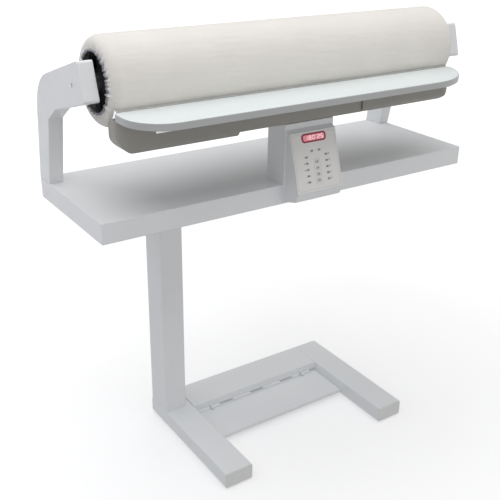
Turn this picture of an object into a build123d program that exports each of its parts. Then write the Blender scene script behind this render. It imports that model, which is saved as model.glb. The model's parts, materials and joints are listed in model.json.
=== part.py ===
from build123d import *
import math
import os

# Rotary flatwork ironer on a single column stand.
# Frame: +X to the right, +Y to the back, +Z up, in millimetres, with the floor at Z = 0.
# The drawing has Y = 0 at the roll's axis. Each finished piece is then moved in Y,
# so that the origin lies in the middle of the machine's footprint.

os.makedirs("parts", exist_ok=True)

# ---- roll ----
roll_end_gap = 28.0
roll_radius = 90.0
roll_height = 940.0
cover_thickness = 1.5
padding_thickness = 8.0
roll_tube_wall = 2.0
soft_gap = 0.3
end_cap_recess = 8.0
end_cap_thickness = 6.0
hub_radius = 22.0
hub_length = 30.0
hub_stand = 4.0
cap_hole_count = 6
cap_hole_radius = 11.0
roll_edge_radius = 3.0
left_end_reach = 16.0
left_end_radius = 24.0
bush_wall = 4.0
hem_inner_radius = 64.0

# ---- axles and roll drive ----
axle_radius = 12.0
running_clearance = 0.05
axle_collar_radius = 17.0
collar_gap = 1.0
motor_radius = 38.0
motor_length = 170.0
motor_flange_thickness = 5.0
motor_band_start = 68.0
motor_band_rise = 2.5
drive_shaft_radius = 8.0
drive_shaft_length = 38.0
drive_shaft_engagement = 20.0
drive_disc_thickness = 8.0

# ---- shelf ----
shelf_width = 1000.0
shelf_depth = 328.0
shelf_thickness = 45.0
shelf_below_roll = 252.0
shelf_back = 230.0
sheet = 2.5
edge_radius = 3.0
underplate_thickness = 2.0
underplate_gap = 0.5
beam_wall = 3.0
back_beam_depth = 46.0
back_beam_inset = 6.0
front_beam_depth = 50.0
front_beam_offset = 8.0
mounting_plate_thickness = 6.0

# ---- gooseneck arms ----
arm_thickness = 32.0
arm_cover_thickness = 3.0
arm_foot_depth = 55.0
arm_shoulder_radius = 100.0
arm_casing_gap = 2.5
arm_corner_radius = 6.0
post_lean = 30.0
post_depth_top = 56.0
shoulder_drop = 22.0
head_rise = 51.0
head_top_reach = 33.0
head_drop = 26.0
head_bottom_reach = 57.0
underside_back = 99.0
underside_drop = 70.0
inner_corner_drop = 100.0
arm_screw_places = ((195.0, -210.0), (165.0, -60.0), (60.0, -15.0))

# ---- stand ----
base_width = 550.0
base_front = 198.0
base_back = 173.0
base_top = 45.0
foot_height = 5.0
foot_radius = 15.0
foot_stud_radius = 4.0
foot_stud_length = 25.0
foot_inset = 30.0
leg_width = 74.0
leg_cap_thickness = 3.0
leg_cap_plug = 10.0
rail_depth = 97.0
tube_wall = 3.0
tube_corner_radius = 4.0
column_width = 58.0
column_depth = 81.0
column_floor = 6.0
column_flange = 6.0
column_flange_reach = 37.0

# ---- foot pedal ----
pedal_gap = 5.0
pedal_front = 46.0
pedal_top = 22.0
pedal_sheet = 2.5
pedal_lip = 8.0
pedal_corner = 2.0
pedal_travel = 3.5
pedal_pin_radius = 4.0
pedal_pin_height = 13.0
pedal_pin_ahead = 6.0
pedal_pin_length = 340.0
pedal_lug_x = 150.0
pedal_lug_thickness = 5.0
pedal_ear_thickness = 4.0
pedal_knuckle_radius = 6.5
pedal_side_play = 1.0
pedal_tongue_width = 40.0
pedal_tongue_reach = 38.0
pedal_spring_x = 100.0
pedal_spring_back = 28.0
spring_radius = 6.0
spring_wire = 1.4
spring_turns = 5
spring_peg_radius = 4.2
spring_peg_height = 6.0
switch_length = 28.0
switch_width = 10.0
switch_height = 14.0
switch_plunger_radius = 1.6
switch_gap = 1.5
rail_lip_gap = 4.0

# ---- ironing shoe ----
shoe_overhang = 8.0
shoe_offset = -10.0
shoe_gap = 0.4
trough_thickness = 8.0
trough_wrap = 66.0
trough_flange_thickness = 5.0
trough_lip_height = 14.0
trough_lip_thickness = 3.0
trough_lip_gap = 4.0
strip_wrap = 40.0
cheek_thickness = 6.0
cheek_gap = 1.5
plate_front = 208.0
plate_thickness = 15.0
plate_left_radius = 80.0
plate_right_radius = 160.0
plate_edge_radius = 3.0
plate_back_radius = 10.0
under_cover_back = 115.0
under_cover_back_corner = 25.0
belly_back = 55.0
side_wall_step = 4.0
side_corner = 15.0
left_cover_drop = 67.0
middle_cover_drop = 58.0
right_cover_drop = 60.0
left_joint_x = -188.0
right_joint_x = 144.0
nose_length = 63.0
nose_back = 58.0
nose_back_radius = 25.0
nose_back_corner = 8.0
left_nose_corner = 20.0
left_nose_radius = 42.0
right_nose_inset = 8.0
right_nose_corner = 30.0
right_nose_radius = 52.0
joint_gap = 0.5
shoe_screw_reach = 35.0
shoe_screw_end = 45.0
fit_gap = 0.2
heater_radius = 4.0
heater_angles = (-45.0, -17.0, 17.0, 45.0)
heater_end_gap = 25.0
thermostat_x = 220.0
thermostat_size = 26.0
thermostat_height = 7.0
shoe_beam_inset = 58.0
shoe_beam_gap = 2.0
shoe_beam_depth = 38.0
shoe_beam_height = 18.0
shoe_beam_wall = 3.0

# ---- neck and lift ----
neck_width = 132.0
neck_depth = 62.0
neck_top_gap = 2.0
neck_opening_gap = 2.5
neck_bolt_edge = 4.0
lift_travel = 12.0
lift_y = -69.0
lift_base_thickness = 4.0
saddle_width = 110.0
saddle_depth = 46.0
saddle_stem = 42.0
saddle_flange_thickness = 8.0
saddle_flange_gap = 1.0
guide_rod_radius = 6.0
guide_rod_x = 40.0
guide_rod_engagement = 45.0
guide_bore_depth = 61.0
lift_motor_radius = 19.0
lift_gap = 3.0
lift_coupler_radius = 8.0
lift_coupler_height = 8.0
lift_screw_radius = 5.0
nut_radius = 9.0
nut_depth = 18.0
nut_flange_radius = 14.0
nut_flange_thickness = 5.0

# ---- control console ----
console_width = 124.0
front_cover_thickness = 3.0
console_top_drop = 13.0
panel_top_drop = 6.0
panel_top_reach = 12.0
panel_height = 126.0
panel_bottom_reach = 51.0
console_chin_drop = 21.0
console_chin_reach = 42.0
front_cover_drop = 11.0
console_wall = 2.5
panel_thickness = 3.0
button_width = 10.0
button_height = 7.0
button_corner = 2.0
button_stand = 1.4
button_travel = 0.8
button_gap = 0.3
button_flange = 1.0
button_first = 68.0
mark_pitch = 13.7
button_count = 4
mark_rows = 5
mark_first = 55.0
mark_column = 27.0
mark_width = 5.0
mark_height = 2.4
mark_corner = 1.1
top_mark_x = 10.0
top_mark_row = 43.0
display_width = 67.0
display_height = 20.0
display_corner = 8.0
display_row = 14.0
display_depth = 1.6
display_stand = 0.6
board_depth = 8.0
board_thickness = 1.6
board_margin = 8.0
spacer_radius = 2.0

# ---- fasteners and gland ----
bolt_radius = 4.0
bolt_clearance = 0.2
bolt_head_radius = 6.5
bolt_head_height = 5.5
bolt_length = 20.0
arm_bolt_thread = 15.0
arm_bolt_spacing = 24.0
screw_radius = 2.0
screw_head_radius = 3.6
screw_head_height = 2.2
screw_length = 9.0
screw_inset = 60.0
access_radius = 8.0
gland_radius = 10.0
gland_bore = 4.0
gland_height = 18.0
gland_nose_radius = 7.5
gland_thread_radius = 7.0
gland_nut_height = 6.0
gland_lock_nut_height = 4.0
gland_gap = 18.0
gland_y = 120.0

# ---- places that follow from the sizes above ----
footprint_middle = (shelf_back - plate_front) / 2
roll_length = shelf_width - 2 * (arm_thickness + roll_end_gap)
shoe_length = roll_length + 2 * shoe_overhang
shelf_top = roll_height - shelf_below_roll
shelf_front = shelf_back - shelf_depth
shelf_bottom = shelf_top - shelf_thickness
shelf_skin_bottom = shelf_top - sheet
beam_bottom = shelf_bottom + underplate_thickness
back_beam = (shelf_back - back_beam_inset - back_beam_depth, shelf_back - back_beam_inset)
front_beam = (shelf_front + front_beam_offset, shelf_front + front_beam_offset + front_beam_depth)
base_half = base_width / 2
leg_inner = base_half - leg_width
leg_middle = base_half - leg_width / 2
rail_front = base_back - rail_depth
column_left = -base_half
column_right = column_left + column_width
column_front = base_back - column_depth
column_x = (column_left + column_right) / 2
column_y = (column_front + base_back) / 2
tube_outer = roll_radius - cover_thickness - padding_thickness - 2 * soft_gap
tube_inner = tube_outer - roll_tube_wall
bush_radius = axle_radius + bush_wall
roll_half = roll_length / 2
tube_half = roll_half - cover_thickness - soft_gap
cap_outer_face = roll_half - end_cap_recess
hub_outer_face = cap_outer_face + hub_stand
hub_inner_face = hub_outer_face - hub_length
arm_outer_face = shelf_width / 2
arm_inner_face = arm_outer_face - arm_thickness
axle_root = arm_outer_face - sheet - arm_casing_gap
trough_inner = roll_radius + shoe_gap
trough_outer = trough_inner + trough_thickness
shoe_left = shoe_offset - shoe_length / 2
shoe_right = shoe_offset + shoe_length / 2
nose_right = shoe_right - right_nose_inset
trough_left = shoe_left + nose_length
trough_right = shoe_right - nose_length
strip_left = shoe_left + cheek_thickness + joint_gap
strip_right = nose_right - cheek_thickness - joint_gap
plate_top = roll_height - trough_outer * math.cos(math.radians(trough_wrap))
plate_bottom = plate_top - plate_thickness
trough_back_top = roll_height - trough_inner * math.cos(math.radians(trough_wrap))
trough_flange_bottom = trough_back_top - trough_flange_thickness
middle_bottom = plate_bottom - middle_cover_drop
neck_top = middle_bottom - neck_top_gap
neck_front = shelf_front
neck_back = neck_front + neck_depth
neck_half = neck_width / 2
cover_face = neck_front - front_cover_thickness
middle_wall = cover_face - neck_opening_gap - sheet
side_wall = middle_wall - side_wall_step


def ordered(a, b):
    """The two limits, the lower one first."""
    return (min(a, b), max(a, b))


def block(x_span, y_span, z_span, mode=Mode.ADD):
    """A box between the given limits."""
    with Locations((x_span[0], y_span[0], z_span[0])):
        Box(
            x_span[1] - x_span[0],
            y_span[1] - y_span[0],
            z_span[1] - z_span[0],
            align=(Align.MIN, Align.MIN, Align.MIN),
            mode=mode,
        )


def bar(start, direction, radius, length, mode=Mode.ADD):
    """A round bar that starts at a point and runs along a direction."""
    with Locations(Plane(origin=start, z_dir=direction)):
        Cylinder(radius, length, align=(Align.CENTER, Align.CENTER, Align.MIN), mode=mode)


def roll_bar(x_span, radius, mode=Mode.ADD):
    """A round bar on the roll's axis between two X limits."""
    low, high = ordered(*x_span)
    bar((low, 0, roll_height), (1, 0, 0), radius, high - low, mode)


def bolt(seat, direction, length=bolt_length):
    """A hexagon bolt whose head sits on the seat and whose shank runs along the direction."""
    bar(seat, direction, bolt_radius, length)
    back = Vector(*direction) * -bolt_head_height
    with BuildSketch(Plane(origin=Vector(*seat) + back, z_dir=direction)) as head:
        RegularPolygon(bolt_head_radius, 6)
    extrude(head.sketch, amount=bolt_head_height)


def screw(seat, direction):
    """A small pan-head screw whose head sits on the seat."""
    bar(seat, direction, screw_radius, screw_length)
    back = Vector(*direction) * -screw_head_height
    bar(Vector(*seat) + back, direction, screw_head_radius, screw_head_height)


def keep(piece, label):
    """Move a finished piece to the footprint's middle, name it and write it out."""
    placed = Pos(0, -footprint_middle, 0) * piece.part
    placed.label = label
    export_step(placed, f"parts/{label}.step")


# ---- bolt places shared by the bolts and the holes that they pass through ----
column_top_bolts = [
    (column_x + dx, column_y + dy)
    for dx in (-column_width / 2 - column_flange_reach / 2, column_width / 2 + column_flange_reach / 2)
    for dy in (-column_depth / 4, column_depth / 4)
]
column_foot_bolts = [
    (column_x + dx, column_y + dy)
    for dx in (-column_width / 4, column_width / 4)
    for dy in (-column_depth / 4, column_depth / 4)
]
neck_bolt_inset = sheet + bolt_head_radius + neck_bolt_edge
neck_bolts = [
    (x, y)
    for x in (-neck_half + neck_bolt_inset, neck_half - neck_bolt_inset)
    for y in (front_beam[0] + bolt_head_radius + beam_wall, front_beam[1] - bolt_head_radius - beam_wall)
]
rail_bolt_height = (foot_height + base_top) / 2
rail_bolt_rows = (rail_front + rail_depth / 4, base_back - rail_depth / 4)
arm_bolt_y = (back_beam[0] + back_beam[1]) / 2
arm_bolt_rows = (arm_bolt_y - arm_bolt_spacing / 2, arm_bolt_y + arm_bolt_spacing / 2)
arm_bolt_x = arm_outer_face - arm_thickness / 2
gland_x = column_left - column_flange_reach - gland_gap - gland_radius
screw_columns = [
    x * (shelf_width / 2 - screw_inset) for x in (-1, -1 / 3, 1 / 3, 1)
]
screw_rows = [sum(front_beam) / 2, sum(back_beam) / 2]
feet = [
    (side * leg_middle, y)
    for side in (-1, 1)
    for y in (-base_front + foot_inset, base_back - foot_inset)
]


# ======================================================================
# Stand: two legs, a rear rail and the column
# ======================================================================
def leg(side, column_holes):
    """A hollow leg, open at the front for its end cap, with its foot holes."""
    across = ordered(side * base_half, side * leg_inner)
    inside = ordered(side * (base_half - tube_wall), side * (leg_inner + tube_wall))
    with BuildPart() as tube:
        block(across, (-base_front + leg_cap_thickness, base_back), (foot_height, base_top))
        fillet(tube.edges().filter_by(Axis.Y), tube_corner_radius)
        block(
            inside,
            (-base_front, base_back - tube_wall),
            (foot_height + tube_wall, base_top - tube_wall),
            Mode.SUBTRACT,
        )
        for x, y in feet:
            if x * side > 0:
                hole = foot_stud_radius + bolt_clearance
                bar((x, y, foot_height), (0, 0, 1), hole, tube_wall, Mode.SUBTRACT)
        for x, y in column_holes:
            bar((x, y, foot_height), (0, 0, 1), access_radius, tube_wall, Mode.SUBTRACT)
            hole = bolt_radius + bolt_clearance
            bar((x, y, base_top - tube_wall), (0, 0, 1), hole, tube_wall, Mode.SUBTRACT)
        for y in rail_bolt_rows:
            start = (min(side * leg_inner, side * (leg_inner + tube_wall)), y, rail_bolt_height)
            bar(start, (1, 0, 0), bolt_radius + bolt_clearance, tube_wall, Mode.SUBTRACT)
    return tube


left_leg = leg(-1, column_foot_bolts)
keep(left_leg, "left_leg")
right_leg = leg(1, [])
keep(right_leg, "right_leg")

with BuildPart() as leg_end_caps:
    for side in (-1, 1):
        across = ordered(side * base_half, side * leg_inner)
        plug = ordered(
            side * (base_half - tube_wall - fit_gap),
            side * (leg_inner + tube_wall + fit_gap),
        )
        cap_back = -base_front + leg_cap_thickness
        block(across, (-base_front, cap_back), (foot_height, base_top))
        block(
            plug,
            (cap_back, cap_back + leg_cap_plug),
            (foot_height + tube_wall + fit_gap, base_top - tube_wall - fit_gap),
        )
    fillet(
        leg_end_caps.edges().filter_by(Axis.Y).group_by(Axis.Y)[0],
        tube_corner_radius,
    )
    front_rim = leg_end_caps.faces().filter_by(Axis.Y).group_by(Axis.Y)[0].edges()
    fillet(front_rim, leg_cap_thickness / 2)
keep(leg_end_caps, "leg_end_caps")

with BuildPart() as levelling_feet:
    for x, y in feet:
        bar((x, y, 0), (0, 0, 1), foot_radius, foot_height)
        bar((x, y, foot_height), (0, 0, 1), foot_stud_radius, foot_stud_length)
    chamfer(levelling_feet.edges().group_by(Axis.Z)[0], foot_height / 5)
keep(levelling_feet, "levelling_feet")

rail_lip = pedal_top + rail_lip_gap
pin_y = rail_front - pedal_pin_ahead
with BuildPart() as rear_rail:
    block((-leg_inner, leg_inner), (rail_front, base_back), (foot_height, base_top))
    block(
        (-leg_inner + tube_wall, leg_inner - tube_wall),
        (rail_front + tube_wall, base_back - tube_wall),
        (foot_height, base_top - tube_wall),
        Mode.SUBTRACT,
    )
    block(
        (-leg_inner, leg_inner),
        (rail_front, rail_front + tube_wall),
        (foot_height, rail_lip),
        Mode.SUBTRACT,
    )
    for side in (-1, 1):
        # hinge lug: a knuckle ahead of the rail with a strap up to its front wall
        lug_left = side * pedal_lug_x - pedal_lug_thickness / 2
        with BuildSketch(Plane.YZ.offset(lug_left)):
            with Locations((pin_y, pedal_pin_height)):
                Circle(pedal_knuckle_radius)
            with BuildLine():
                Polyline(
                    (pin_y - pedal_knuckle_radius, pedal_pin_height),
                    (pin_y - pedal_knuckle_radius, rail_lip),
                    (rail_front, rail_lip + pedal_knuckle_radius),
                    (rail_front + tube_wall, rail_lip + pedal_knuckle_radius),
                    (rail_front + tube_wall, pedal_pin_height),
                    close=True,
                )
            make_face()
            with Locations((pin_y, pedal_pin_height)):
                Circle(pedal_pin_radius + running_clearance, mode=Mode.SUBTRACT)
        extrude(amount=pedal_lug_thickness)
        wall_start = min(side * leg_inner, side * (leg_inner - tube_wall))
        for y in rail_bolt_rows:
            bar(
                (wall_start, y, rail_bolt_height),
                (1, 0, 0),
                bolt_radius + bolt_clearance,
                tube_wall,
                Mode.SUBTRACT,
            )
keep(rear_rail, "rear_rail")

with BuildPart() as column:
    column_top = shelf_bottom - column_flange
    block((column_left, column_right), (column_front, base_back), (base_top, column_top))
    fillet(column.edges().filter_by(Axis.Z), tube_corner_radius)
    block(
        (column_left + tube_wall, column_right - tube_wall),
        (column_front + tube_wall, base_back - tube_wall),
        (base_top + column_floor, column_top),
        Mode.SUBTRACT,
    )
    block(
        (column_left - column_flange_reach, column_right + column_flange_reach),
        (column_front, base_back),
        (column_top, shelf_bottom),
    )
    for x, y in column_top_bolts:
        bar((x, y, column_top), (0, 0, 1), bolt_radius + bolt_clearance, column_flange, Mode.SUBTRACT)
    for x, y in column_foot_bolts:
        bar((x, y, base_top), (0, 0, 1), bolt_radius + running_clearance, column_floor, Mode.SUBTRACT)
keep(column, "column")


# ======================================================================
# Foot pedal on the rear rail
# ======================================================================
pedal_half = leg_inner - pedal_gap
pedal_plate_back = rail_front - pedal_side_play
tongue_back = rail_front + pedal_tongue_reach
spring_y = rail_front + pedal_spring_back
ear_x = pedal_lug_x - pedal_lug_thickness / 2 - pedal_side_play - pedal_ear_thickness

with BuildPart() as pedal_plate:
    under = pedal_top - pedal_sheet
    block((-pedal_half, pedal_half), (-pedal_front, pedal_plate_back), (under, pedal_top))
    block(
        (-pedal_half, pedal_half),
        (-pedal_front, -pedal_front + pedal_sheet),
        (pedal_top - pedal_lip, pedal_top),
    )
    for x in (-pedal_spring_x, 0, pedal_spring_x):
        half = pedal_tongue_width / 2
        block((x - half, x + half), (pin_y, tongue_back), (under, pedal_top))
        if x != 0:
            bar((x, spring_y, pedal_top), (0, 0, 1), spring_peg_radius, spring_peg_height)
    for side in (-1, 1):
        notch = pedal_lug_thickness / 2 + pedal_side_play
        centre = side * pedal_lug_x
        block(
            (centre - notch, centre + notch),
            (pin_y - pedal_knuckle_radius - pedal_side_play, pedal_plate_back),
            (under, pedal_top),
            Mode.SUBTRACT,
        )
        ear_left = min(side * ear_x, side * (ear_x + pedal_ear_thickness))
        with BuildSketch(Plane.YZ.offset(ear_left)):
            with Locations((pin_y, pedal_pin_height)):
                Circle(pedal_knuckle_radius)
            with Locations((pin_y, (pedal_pin_height + pedal_top - pedal_sheet / 2) / 2)):
                Rectangle(2 * pedal_knuckle_radius, pedal_top - pedal_sheet / 2 - pedal_pin_height)
            with Locations((pin_y, pedal_pin_height)):
                Circle(pedal_pin_radius + running_clearance, mode=Mode.SUBTRACT)
        extrude(amount=pedal_ear_thickness)
    front_corners = pedal_plate.edges().filter_by(Axis.Z).group_by(Axis.Y)[0]
    fillet(front_corners, pedal_corner)
keep(pedal_plate, "pedal_plate")

with BuildPart() as pedal_pin:
    bar((-pedal_pin_length / 2, pin_y, pedal_pin_height), (1, 0, 0), pedal_pin_radius, pedal_pin_length)
    chamfer(pedal_pin.edges(), pedal_pin_radius / 5)
keep(pedal_pin, "pedal_pin")

# the rail's top wall is the springs' upper seat and the pedal's tongues their lower one
spring_top = base_top - tube_wall - soft_gap
spring_bottom = pedal_top + soft_gap
with BuildPart() as pedal_springs:
    for side in (-1, 1):
        mean_radius = spring_radius - spring_wire / 2
        rise = spring_top - spring_bottom - spring_wire
        foot = (side * pedal_spring_x, spring_y, spring_bottom + spring_wire / 2)
        coil = Helix(rise / spring_turns, rise, mean_radius, center=foot, mode=Mode.PRIVATE)
        with BuildSketch(Plane(origin=coil @ 0, z_dir=coil % 0)):
            Circle(spring_wire / 2)
        sweep(path=coil)
keep(pedal_springs, "pedal_springs")

with BuildPart() as pedal_switch:
    switch_top = base_top - tube_wall
    switch_bottom = switch_top - switch_height
    block(
        (-switch_length / 2, switch_length / 2),
        (spring_y - switch_width / 2, spring_y + switch_width / 2),
        (switch_bottom, switch_top),
    )
    fillet(pedal_switch.edges().filter_by(Axis.Z), switch_width / 10)
    lift_at_switch = (spring_y - pin_y) * math.sin(math.radians(pedal_travel))
    plunger_end = pedal_top + lift_at_switch + switch_gap
    bar(
        (0, spring_y, plunger_end),
        (0, 0, 1),
        switch_plunger_radius,
        switch_bottom - plunger_end,
    )
keep(pedal_switch, "pedal_switch")


# ======================================================================
# Shelf: a folded tray over two beams, closed below by a plate
# ======================================================================
tray_half = shelf_width / 2
tray_inner = tray_half - sheet

with BuildPart() as shelf_tray:
    block((-tray_half, tray_half), (shelf_front, shelf_back), (shelf_bottom, shelf_top))
    fillet(shelf_tray.edges().filter_by(Axis.Z), edge_radius)
    fillet(shelf_tray.faces().sort_by(Axis.Z)[-1].edges(), edge_radius / 2)
    block(
        (-tray_inner, tray_inner),
        (shelf_front + sheet, shelf_back - sheet),
        (shelf_bottom, shelf_skin_bottom),
        Mode.SUBTRACT,
    )
    hole = bolt_radius + bolt_clearance
    for x, y in neck_bolts:
        bar((x, y, shelf_skin_bottom), (0, 0, 1), hole, sheet, Mode.SUBTRACT)
    for side in (-1, 1):
        for y in arm_bolt_rows:
            bar((side * arm_bolt_x, y, shelf_skin_bottom), (0, 0, 1), hole, sheet, Mode.SUBTRACT)
keep(shelf_tray, "shelf_tray")

with BuildPart() as shelf_underplate:
    block(
        (-tray_inner + underplate_gap, tray_inner - underplate_gap),
        (shelf_front + sheet + underplate_gap, shelf_back - sheet - underplate_gap),
        (shelf_bottom, beam_bottom),
    )
    hole = bolt_radius + bolt_clearance
    for x, y in column_top_bolts:
        bar((x, y, shelf_bottom), (0, 0, 1), hole, underplate_thickness, Mode.SUBTRACT)
    for side in (-1, 1):
        for y in arm_bolt_rows:
            start = (side * arm_bolt_x, y, shelf_bottom)
            bar(start, (0, 0, 1), access_radius, underplate_thickness, Mode.SUBTRACT)
    for x in screw_columns:
        for y in screw_rows:
            hole = screw_radius + bolt_clearance
            bar((x, y, shelf_bottom), (0, 0, 1), hole, underplate_thickness, Mode.SUBTRACT)
    gland_hole = (gland_x, gland_y, shelf_bottom)
    bar(gland_hole, (0, 0, 1), gland_thread_radius + fit_gap, underplate_thickness, Mode.SUBTRACT)
keep(shelf_underplate, "shelf_underplate")


def beam(y_span, top_holes, through_holes):
    """A hollow rectangular beam along the shelf, with its bolt holes."""
    with BuildPart() as tube:
        block((-tray_inner, tray_inner), y_span, (beam_bottom, shelf_skin_bottom))
        block(
            (-tray_inner, tray_inner),
            (y_span[0] + beam_wall, y_span[1] - beam_wall),
            (beam_bottom + beam_wall, shelf_skin_bottom - beam_wall),
            Mode.SUBTRACT,
        )
        hole = bolt_radius + bolt_clearance
        for x, y in top_holes + through_holes:
            bar((x, y, shelf_skin_bottom - beam_wall), (0, 0, 1), hole, beam_wall, Mode.SUBTRACT)
        for x, y in through_holes:
            bar((x, y, beam_bottom), (0, 0, 1), hole, beam_wall, Mode.SUBTRACT)
        for x in screw_columns:
            start = (x, sum(y_span) / 2, beam_bottom)
            bar(start, (0, 0, 1), screw_radius + bolt_clearance / 2, beam_wall, Mode.SUBTRACT)
    return tube


arm_bolt_places = [(side * arm_bolt_x, y) for side in (-1, 1) for y in arm_bolt_rows]
shelf_back_beam = beam(back_beam, [], arm_bolt_places)
keep(shelf_back_beam, "shelf_back_beam")
shelf_front_beam = beam(front_beam, neck_bolts, [])
keep(shelf_front_beam, "shelf_front_beam")

with BuildPart() as column_mounting_plate:
    block(
        (column_left - column_flange_reach, column_right + column_flange_reach),
        (front_beam[1], back_beam[0]),
        (beam_bottom, beam_bottom + mounting_plate_thickness),
    )
    for x, y in column_top_bolts:
        start = (x, y, beam_bottom)
        thread = bolt_radius + running_clearance
        bar(start, (0, 0, 1), thread, mounting_plate_thickness, Mode.SUBTRACT)
keep(column_mounting_plate, "column_mounting_plate")

with BuildPart() as cable_gland:
    gland_place = (gland_x, gland_y)
    bar((*gland_place, shelf_bottom - gland_height), (0, 0, 1), gland_nose_radius, gland_height)
    bar((*gland_place, shelf_bottom), (0, 0, 1), gland_thread_radius, underplate_thickness)
    nuts = (
        (shelf_bottom - gland_nut_height, gland_nut_height),
        (beam_bottom, gland_lock_nut_height),
    )
    for nut_start, nut_height in nuts:
        with BuildSketch(Plane.XY.offset(nut_start)):
            with Locations(gland_place):
                RegularPolygon(gland_radius, 6)
        extrude(amount=nut_height)
    bore_length = gland_height + underplate_thickness + gland_lock_nut_height
    bar((*gland_place, shelf_bottom - gland_height), (0, 0, 1), gland_bore, bore_length, Mode.SUBTRACT)
keep(cable_gland, "cable_gland")


# ======================================================================
# Gooseneck arms: a casing, an inner cover and a cast bracket in each
# ======================================================================
def arm_outline(x, inset, foot):
    """The arm's side outline at an X place, drawn in by the inset."""
    shoulder = (shelf_back - post_lean, roll_height - shoulder_drop)
    corners = [
        ((shelf_back, foot), 0.0),
        (shoulder, arm_shoulder_radius),
        ((-head_top_reach, roll_height + head_rise), arm_corner_radius),
        ((-head_bottom_reach, roll_height - head_drop), arm_corner_radius),
        ((underside_back, roll_height - underside_drop), 0.0),
        ((shoulder[0] - post_depth_top, roll_height - inner_corner_drop), 0.0),
        ((shelf_back - arm_foot_depth, foot), 0.0),
    ]
    with BuildSketch(Plane.YZ.offset(x)) as outline:
        with BuildLine():
            FilletPolyline(
                *[place for place, radius in corners],
                radius=[radius for place, radius in corners],
                close=True,
            )
        make_face()
        if inset > 0:
            offset(amount=-inset, mode=Mode.REPLACE)
    return outline.sketch


def arm(side, name):
    """One arm's casing, cover and bracket; side is -1 for the left and +1 for the right."""
    outer = side * arm_outer_face
    inward = -side
    with BuildPart() as casing:
        extrude(arm_outline(outer, 0, shelf_top), amount=inward * (arm_thickness - arm_cover_thickness))
        fillet(casing.faces().sort_by(Axis.X)[0 if side < 0 else -1].edges(), sheet / 2)
        hollow = arm_outline(outer + inward * sheet, sheet, shelf_top - 2 * sheet)
        extrude(hollow, amount=inward * arm_thickness, mode=Mode.SUBTRACT)
        bar(
            (min(outer, outer + inward * sheet), 0, roll_height),
            (1, 0, 0),
            screw_radius + bolt_clearance,
            sheet,
            Mode.SUBTRACT,
        )
    keep(casing, f"{name}_arm_casing")

    with BuildPart() as cover:
        extrude(arm_outline(side * arm_inner_face, 0, shelf_top), amount=-inward * arm_cover_thickness)
        start = min(side * arm_inner_face, side * (arm_inner_face + arm_cover_thickness))
        bar(
            (start, 0, roll_height),
            (1, 0, 0),
            axle_radius + fit_gap,
            arm_cover_thickness,
            Mode.SUBTRACT,
        )
        for y, rise in arm_screw_places:
            bar(
                (start, y, roll_height + rise),
                (1, 0, 0),
                screw_radius + bolt_clearance,
                arm_cover_thickness,
                Mode.SUBTRACT,
            )
    keep(cover, f"{name}_arm_cover")

    bracket_inner = side * (arm_inner_face + arm_cover_thickness)
    bracket_outer = side * axle_root
    low, high = ordered(bracket_inner, bracket_outer)
    bracket_inset = sheet + arm_casing_gap
    with BuildPart() as bracket:
        extrude(arm_outline(low, bracket_inset, shelf_top - bracket_inset), amount=high - low)
        bar((low, 0, roll_height), (1, 0, 0), axle_radius + running_clearance, high - low, Mode.SUBTRACT)
        for y in arm_bolt_rows:
            thread = bolt_radius + running_clearance
            start = (side * arm_bolt_x, y, shelf_top)
            bar(start, (0, 0, 1), thread, arm_bolt_thread + 2 * bolt_clearance, Mode.SUBTRACT)
        for y, rise in arm_screw_places:
            start = (bracket_inner, y, roll_height + rise)
            thread = screw_radius + running_clearance
            bar(start, (side, 0, 0), thread, screw_length, Mode.SUBTRACT)
    keep(bracket, f"{name}_arm_bracket")


arm(-1, "left")
arm(1, "right")


# ======================================================================
# Axles: each is fixed in its arm and carries one end of the roll
# ======================================================================
hub_seat = hub_outer_face + collar_gap


def axle(side, inner_end):
    """A fixed axle with a collar in the gap between the arm and the roll."""
    with BuildPart() as shaft:
        roll_bar((side * axle_root, side * inner_end), axle_radius)
        roll_bar((side * arm_inner_face, side * hub_seat), axle_collar_radius)
        start = (side * axle_root, 0, roll_height)
        bar(start, (-side, 0, 0), screw_radius + running_clearance, screw_length, Mode.SUBTRACT)
    return shaft


motor_flange_end = hub_inner_face - collar_gap
left_axle = axle(-1, motor_flange_end - motor_flange_thickness)
keep(left_axle, "left_axle")
right_axle = axle(1, motor_flange_end)
keep(right_axle, "right_axle")

motor_start = motor_flange_end - motor_flange_thickness
motor_end = motor_start - motor_length
with BuildPart() as roll_motor:
    # flange that clamps to the left axle, then the motor and gearbox housing
    roll_bar((-motor_flange_end, -motor_start), motor_radius)
    roll_bar((-motor_flange_end, -motor_start), axle_radius, Mode.SUBTRACT)
    roll_bar((-motor_start, -motor_end), motor_radius)
    fillet(roll_motor.edges().group_by(Axis.X)[-1], motor_radius / 10)
    bore = drive_shaft_radius + running_clearance
    roll_bar((-motor_end, -motor_end - drive_shaft_engagement), bore, Mode.SUBTRACT)
    with BuildSketch(Plane.YZ.offset(-motor_start + motor_band_start)):
        with Locations((0, roll_height)):
            Circle(motor_radius + motor_band_rise)
            Circle(motor_radius - motor_band_rise, mode=Mode.SUBTRACT)
    extrude(amount=motor_flange_thickness)
keep(roll_motor, "roll_motor")


# ======================================================================
# Roll: tube, end caps with bushes, drive disc, padding and cloth cover
# ======================================================================
with BuildPart() as roll_tube:
    roll_bar((-tube_half, tube_half), tube_outer)
    roll_bar((-tube_half, tube_half), tube_inner, Mode.SUBTRACT)
keep(roll_tube, "roll_tube")

with BuildPart() as roll_padding:
    roll_bar((-tube_half, tube_half), tube_outer + soft_gap + padding_thickness)
    roll_bar((-tube_half, tube_half), tube_outer + soft_gap, Mode.SUBTRACT)
keep(roll_padding, "roll_padding")

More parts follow.
